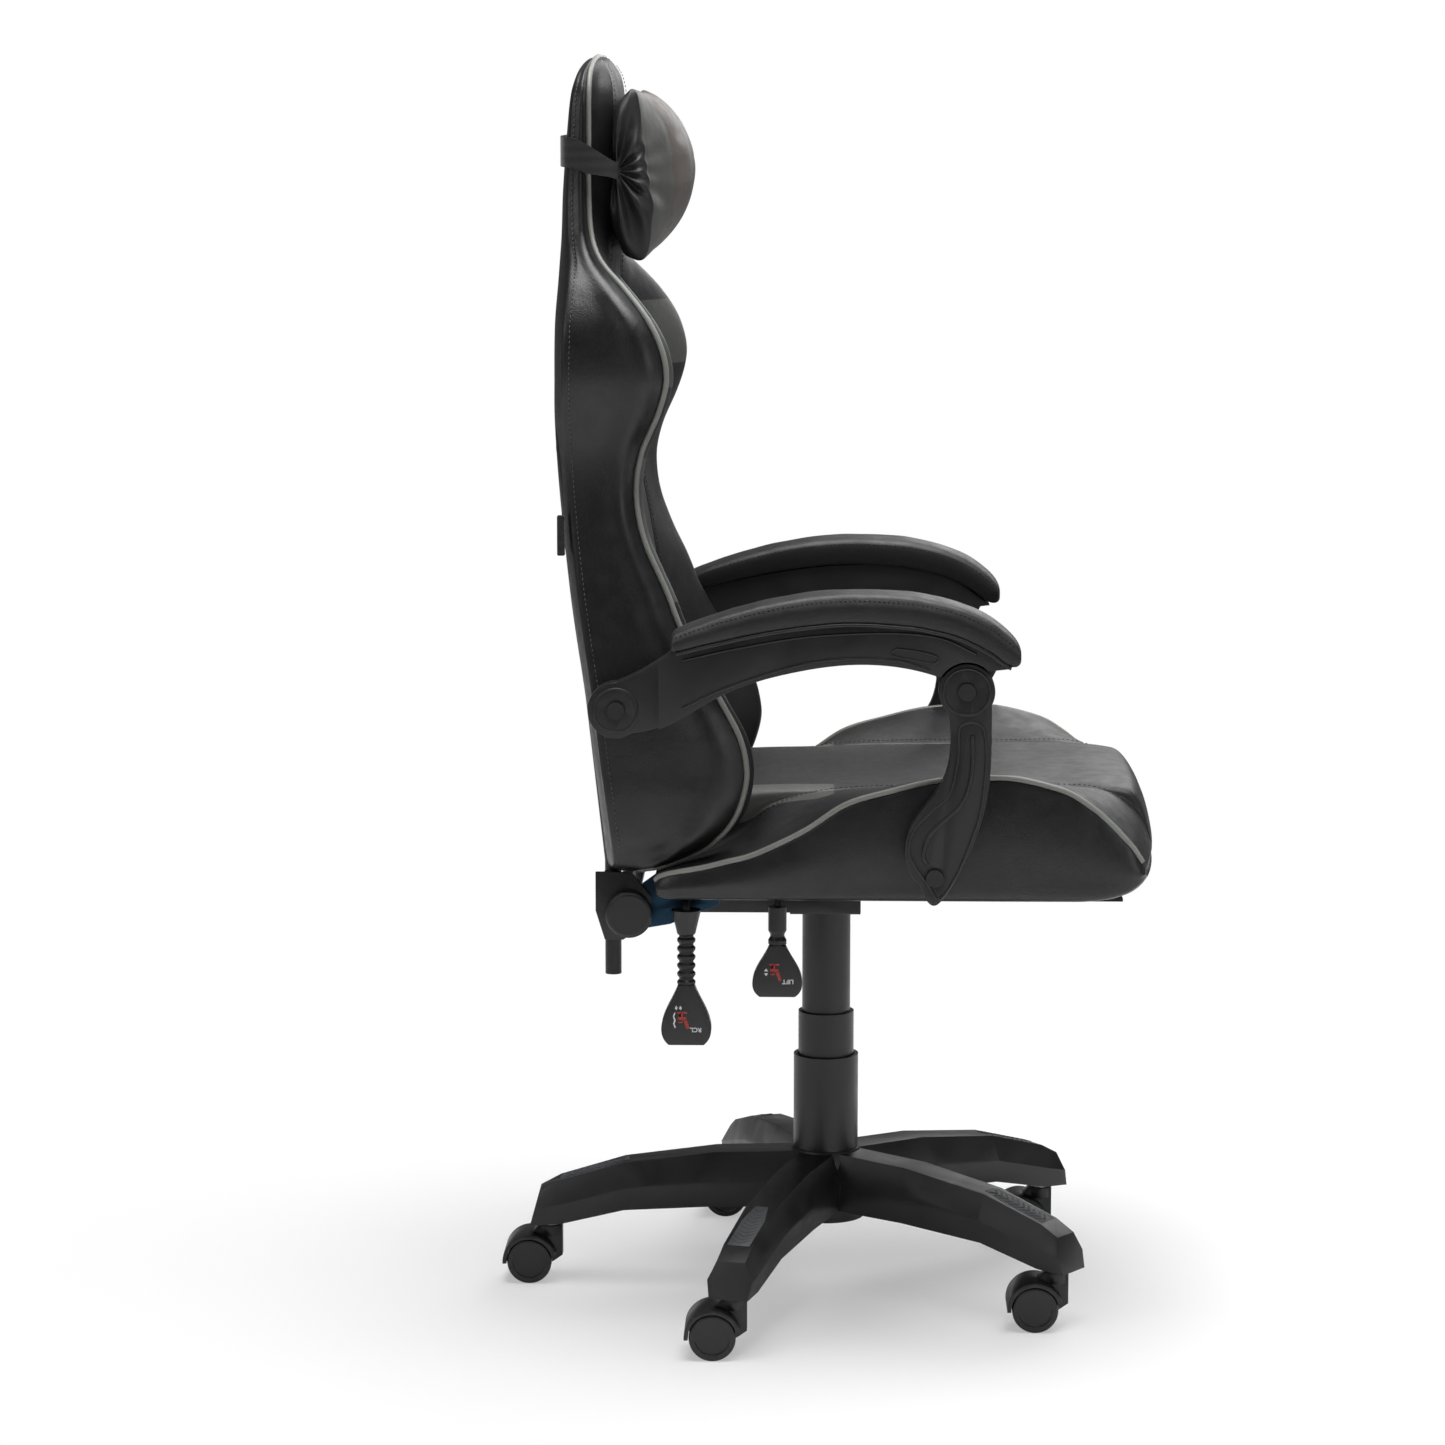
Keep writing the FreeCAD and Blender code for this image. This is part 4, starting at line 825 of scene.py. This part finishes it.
def inflate(piece, shape, held):
    # the cover is blown up a little with its seams held, and no point moves further than the cap
    start = [vertex.co.copy() for vertex in piece.data.vertices]
    group = piece.vertex_groups.new(name="held")
    for vertex in piece.data.vertices:
        group.add([vertex.index], held(vertex.co / mm), "REPLACE")
    makeActive(piece)
    cloth = piece.modifiers.new("cloth", "CLOTH")
    cloth.settings.quality = 6
    cloth.settings.mass = 0.25
    cloth.settings.tension_stiffness = 25
    cloth.settings.compression_stiffness = 10
    cloth.settings.bending_stiffness = 1.5
    cloth.settings.vertex_group_mass = "held"
    cloth.settings.use_pressure = True
    cloth.settings.uniform_pressure_force = shape["pressure"]
    cloth.settings.effector_weights.gravity = 0
    cloth.collision_settings.use_self_collision = False
    cloth.point_cache.frame_start = 1
    cloth.point_cache.frame_end = shape["frames"]
    for moment in range(1, shape["frames"] + 1):
        bpy.context.scene.frame_set(moment)
    bpy.ops.object.modifier_apply(modifier=cloth.name)
    bpy.context.scene.frame_set(1)
    limit = shape["cap"] * mm
    for vertex, before in zip(piece.data.vertices, start):
        moved = vertex.co - before
        if moved.length > limit:
            vertex.co = before + moved * (limit / moved.length)
    piece.vertex_groups.clear()


def pillowHeld(place):
    seam = math.exp(-((abs(place.y) - pillowShape["bodyHalf"]) / 3) ** 2)
    rear = smoothStep(-203, -207, place.x)
    tieX, tieZ = pillowShape["tie"]
    tie = smoothStep(26, 12, math.hypot(place.x - tieX, place.z - tieZ)) if abs(place.y) > 138 else 0
    return min(1.0, max(0.85 * seam, rear, tie))


pillow = gridPiece("neck_pillow_cover", pillowShape["columns"], pillowShape["rows"], pillowPlace, panel=pillowPanel)
inflate(pillow, pillowShape, pillowHeld)
smoothPiece(pillow, 1)
paint(pillow, greyPu, taupePu, blackPuSoft)
settle(pillow, "pillow", ["neck_pillow"])
print("pillow gathered")

# elastic strap of the pillow, round the back of the headrest
strapShape = {"height": 720, "width": 29, "endHeight": 701, "endWidth": 16, "thickness": 1.4, "endX": -205}


def strapPlace(u, v):
    route = [(strapShape["endX"], 147, strapShape["endHeight"]), (-219, 157, 707), (-234, 162.8, 713), (-246.5, 162.2, 718),
             (-256.4, 155.5, 719.5), (-260.6, 129, 720), (-263.4, 67, 720), (-264.3, 0, 720)]
    share = 1 - abs(2 * u - 1)
    x, y, z = alongCurve(route, share)
    spread = strapShape["endWidth"] + (strapShape["width"] - strapShape["endWidth"]) * smoothStep(0, 0.35, share)
    return x, (y if u < 0.5 else -y), z + deckZ + (v - 0.5) * spread


strap = gridPiece("pillow_strap_band", 120, 8, strapPlace, closed=False)
thickness = strap.modifiers.new("thickness", "SOLIDIFY")
thickness.thickness = strapShape["thickness"] * mm
thickness.offset = 0
smoothPiece(strap, 0, 40)
paint(strap, blackElastic)
settle(strap, "pillow", ["pillow_strap"])
print("strap made")

# ribs moulded on the grey foot pads of the base
ribShape = {"innerRadius": 214, "pitch": 6.4, "count": 10, "reach": 8.5, "lead": 6.0, "thick": 0.8,
            "topAt": (208.08, 127.0), "topEnd": (275.4, 107.0)}


def footRibs():
    curve = bpy.data.curves.new("foot_pad_ribs", "CURVE")
    curve.dimensions = "3D"
    curve.bevel_depth = ribShape["thick"] * mm
    curve.bevel_resolution = 1
    curve.use_fill_caps = True
    (r0, z0), (r1, z1) = ribShape["topAt"], ribShape["topEnd"]
    for arm in range(5):
        turn = math.radians(180 + 72 * arm)
        for i in range(ribShape["count"]):
            spline = curve.splines.new("POLY")
            spline.points.add(2)
            reach = ribShape["reach"] * (0.72 + 0.28 * min(i / 4, 1))
            for point, across in zip(spline.points, (-1, 0, 1)):
                radius = ribShape["innerRadius"] + i * ribShape["pitch"] - ribShape["lead"] * abs(across)
                height = z0 + (z1 - z0) * (radius - r0) / (r1 - r0)
                y = across * reach
                point.co = ((radius * math.cos(turn) - y * math.sin(turn)) * mm,
                            (radius * math.sin(turn) + y * math.cos(turn)) * mm, (height + 0.1) * mm, 1)
    piece = bpy.data.objects.new("foot_pad_ribs", curve)
    bpy.context.collection.objects.link(piece)
    makeActive(piece)
    bpy.ops.object.convert(target="MESH")
    return bpy.context.object


ribs = footRibs()
paint(ribs, greyNylon)
settle(ribs, "base")
print("foot pads ribbed")


# printed signs on the two lever grips, upside down as they hang
def flatShape(name, outlines, place, thick=0.12):
    # closed outlines in mm, x to the right and y up as read, printed on a face that looks to -Y
    curve = bpy.data.curves.new(name, "CURVE")
    curve.dimensions = "2D"
    curve.fill_mode = "BOTH"
    curve.extrude = thick / 2 * mm
    for outline in outlines:
        spline = curve.splines.new("POLY")
        spline.points.add(len(outline) - 1)
        spline.use_cyclic_u = True
        for point, target in zip(spline.points, outline):
            point.co = (target[0] * mm, target[1] * mm, 0, 1)
    return printOn(bpy.data.objects.new(name, curve), place)


def words(name, text, height, place, thick=0.12):
    curve = bpy.data.curves.new(name, "FONT")
    curve.body = text
    curve.size = height * mm
    curve.align_x = "CENTER"
    curve.align_y = "CENTER"
    curve.extrude = thick / 2 * mm
    curve.offset = 0.00012
    return printOn(bpy.data.objects.new(name, curve), place)


def printOn(piece, place):
    bpy.context.collection.objects.link(piece)
    makeActive(piece)
    bpy.ops.object.convert(target="MESH")
    piece = bpy.context.object
    piece.rotation_euler = (math.radians(90), math.radians(180), 0)
    piece.location = Vector(place) * mm
    setPlace(piece)
    return piece


def stroke(points, width):
    # outline of a line of the given width through points
    left, right = [], []
    for i, point in enumerate(points):
        before = Vector(points[max(i - 1, 0)])
        after = Vector(points[min(i + 1, len(points) - 1)])
        way = (after - before).normalized()
        across = Vector((-way.y, way.x)) * width / 2
        left.append(tuple(Vector(point) + across))
        right.append(tuple(Vector(point) - across))
    return left + right[::-1]


seatSign = [stroke([(-4.4, 8.6), (-3.4, 5.6), (-1.4, -0.6)], 3.2), stroke([(-2.6, -1.2), (5.4, -2.2)], 3.2),
            stroke([(1.6, -3.0), (1.6, -7.2)], 2.0), stroke([(-3.6, -7.4), (6.4, -7.4)], 1.5),
            stroke([(1.0, 2.2), (5.2, 2.2)], 1.5)]


def arrow(x, y, length, up):
    way = 1 if up else -1
    return [(x - 2.0, y), (x, y + way * 2.8), (x + 2.0, y), (x + 0.7, y), (x + 0.7, y - way * length), (x - 0.7, y - way * length),
            (x - 0.7, y)]


def labelGrip(nodeName, body, text, signs, centre):
    low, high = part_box(nodeName)
    face = low[1] / mm - 0.07
    x, z = centre
    sign = flatShape(nodeName + "_seat_sign", seatSign, (x, face, z))
    paint(sign, redInk)
    settle(sign, body)
    marks = flatShape(nodeName + "_arrows", signs, (x, face, z))
    paint(marks, whiteInk)
    settle(marks, body)
    name = words(nodeName + "_word", text, 6.2, (x + 12.0, face, z - 9.5))
    paint(name, whiteInk)
    settle(name, body)


liftSigns = [arrow(9.4, 1.2, 0.1, True), arrow(9.4, -0.8, 0.1, False)]
reclineSigns = [stroke([(8.2, 7.6), (9.6, 3.6), (8.6, 0.0), (9.8, -4.0), (8.6, -7.4)], 1.4)]
reclineSigns += [[(x * 1.0 + dx, y - 12.2) for x, y in ((0, 2.2), (1.5, 0), (0, -2.2), (-1.5, 0))] for dx in (3.0, 7.2)]
labelGrip("lift_paddle", "lift_lever", "LIFT", liftSigns, (-49.5, 368.0))
labelGrip("recline_paddle", "recline_lever", "RCL", reclineSigns, (-139.5, 322.0))
print("levers labelled")

# short elastic loops sewn into the rear edges of the back
tabShape = {"low": 332, "high": 371, "reach": 7.5, "thick": 3.0, "half": 206}
for sideName, side in sides.items():
    deselectAll()
    bpy.ops.mesh.primitive_cube_add(size=1)
    tab = bpy.context.object
    tab.name = "back_loop_" + sideName
    tab.scale = (tabShape["reach"] * mm, tabShape["thick"] * 3 * mm, (tabShape["high"] - tabShape["low"]) * mm)
    height = (tabShape["low"] + tabShape["high"]) / 2
    tab.location = (-258.5 * mm, side * tabShape["half"] * 0.955 * mm, (height + deckZ) * mm)
    setPlace(tab)
    edges = tab.modifiers.new("edges", "BEVEL")
    edges.width = 1.4 * mm
    edges.segments = 3
    applyModifiers(tab)
    paint(tab, blackElastic)
    settle(tab, "back")
print("loops sewn")

# floor, light and camera
deselectAll()
bpy.ops.mesh.primitive_circle_add(vertices=96, radius=60, fill_type="NGON")
floor = bpy.context.object
floor.name = "floor"
floorPaint, floorShader, floorPlace = startMaterial("white_studio_floor", 0.9)
floorShader.inputs["Base Color"].default_value = linearColour("#f2f2f2")
distance = addNode(floorPaint, "ShaderNodeVectorMath", {"operation": "LENGTH"}, {0: (floorPlace, "Object")})
fade = addNode(floorPaint, "ShaderNodeMapRange", {"interpolation_type": "SMOOTHERSTEP", "From Min": 0.4, "From Max": 1.2,
                                                    "To Min": 0.4},
               {"Value": (distance, "Value")})
ray = addNode(floorPaint, "ShaderNodeLightPath")
seen = addNode(floorPaint, "ShaderNodeMath", {"operation": "MULTIPLY"}, {0: (ray, "Is Camera Ray"), 1: (fade, "Result")})
shine = addNode(floorPaint, "ShaderNodeEmission", {"Color": (1, 1, 1, 1), "Strength": 1.0})
both = addNode(floorPaint, "ShaderNodeMixShader", {}, {0: (seen, "Value"), 1: (floorShader, "BSDF"), 2: (shine, "Emission")})
floorPaint.node_tree.links.new(both.outputs["Shader"], floorPaint.node_tree.nodes["Material Output"].inputs["Surface"])
paint(floor, floorPaint)

world = bpy.data.worlds.new("studio")
bpy.context.scene.world = world
world.use_nodes = True
worldRay = addNode(world, "ShaderNodeLightPath")
worldLevel = addNode(world, "ShaderNodeMapRange", {"To Min": 0.13, "To Max": 1.0}, {"Value": (worldRay, "Is Camera Ray")})
background = world.node_tree.nodes["Background"]
background.inputs["Color"].default_value = (1, 1, 1, 1)
world.node_tree.links.new(worldLevel.outputs["Result"], background.inputs["Strength"])

softLights = [
    ("top_softbox", (0.2, -0.2, 3.4), 2.4, 140),
    ("key_softbox", (-2.6, -2.0, 2.2), 1.5, 15),
    ("fill_softbox", (2.8, -2.4, 1.2), 1.4, 12),
    ("rear_softbox", (1.2, 2.8, 2.4), 2.0, 40),
]
for name, place, size, power in softLights:
    lamp = bpy.data.lights.new(name, "AREA")
    lamp.size = size
    lamp.energy = power
    holder = bpy.data.objects.new(name, lamp)
    holder.location = place
    aim = Vector((0, 0, 0.65)) - Vector(place)
    holder.rotation_euler = aim.to_track_quat("-Z", "Y").to_euler()
    bpy.context.collection.objects.link(holder)

cameraShape = {"place": (0.0008, -4.3048, 1.21806), "yaw": -0.0250, "down": 0.1460, "lens": 106.16}
lens = bpy.data.cameras.new("camera")
lens.lens = cameraShape["lens"]
lens.sensor_width = 36
camera = bpy.data.objects.new("camera", lens)
camera.location = cameraShape["place"]
yaw, down = cameraShape["yaw"], cameraShape["down"]
ahead = Vector((math.sin(yaw) * math.cos(down), math.cos(yaw) * math.cos(down), -math.sin(down)))
camera.rotation_euler = ahead.to_track_quat("-Z", "Y").to_euler()
bpy.context.collection.objects.link(camera)
bpy.context.scene.camera = camera
bpy.context.scene.view_settings.view_transform = "Standard"
print("studio set")
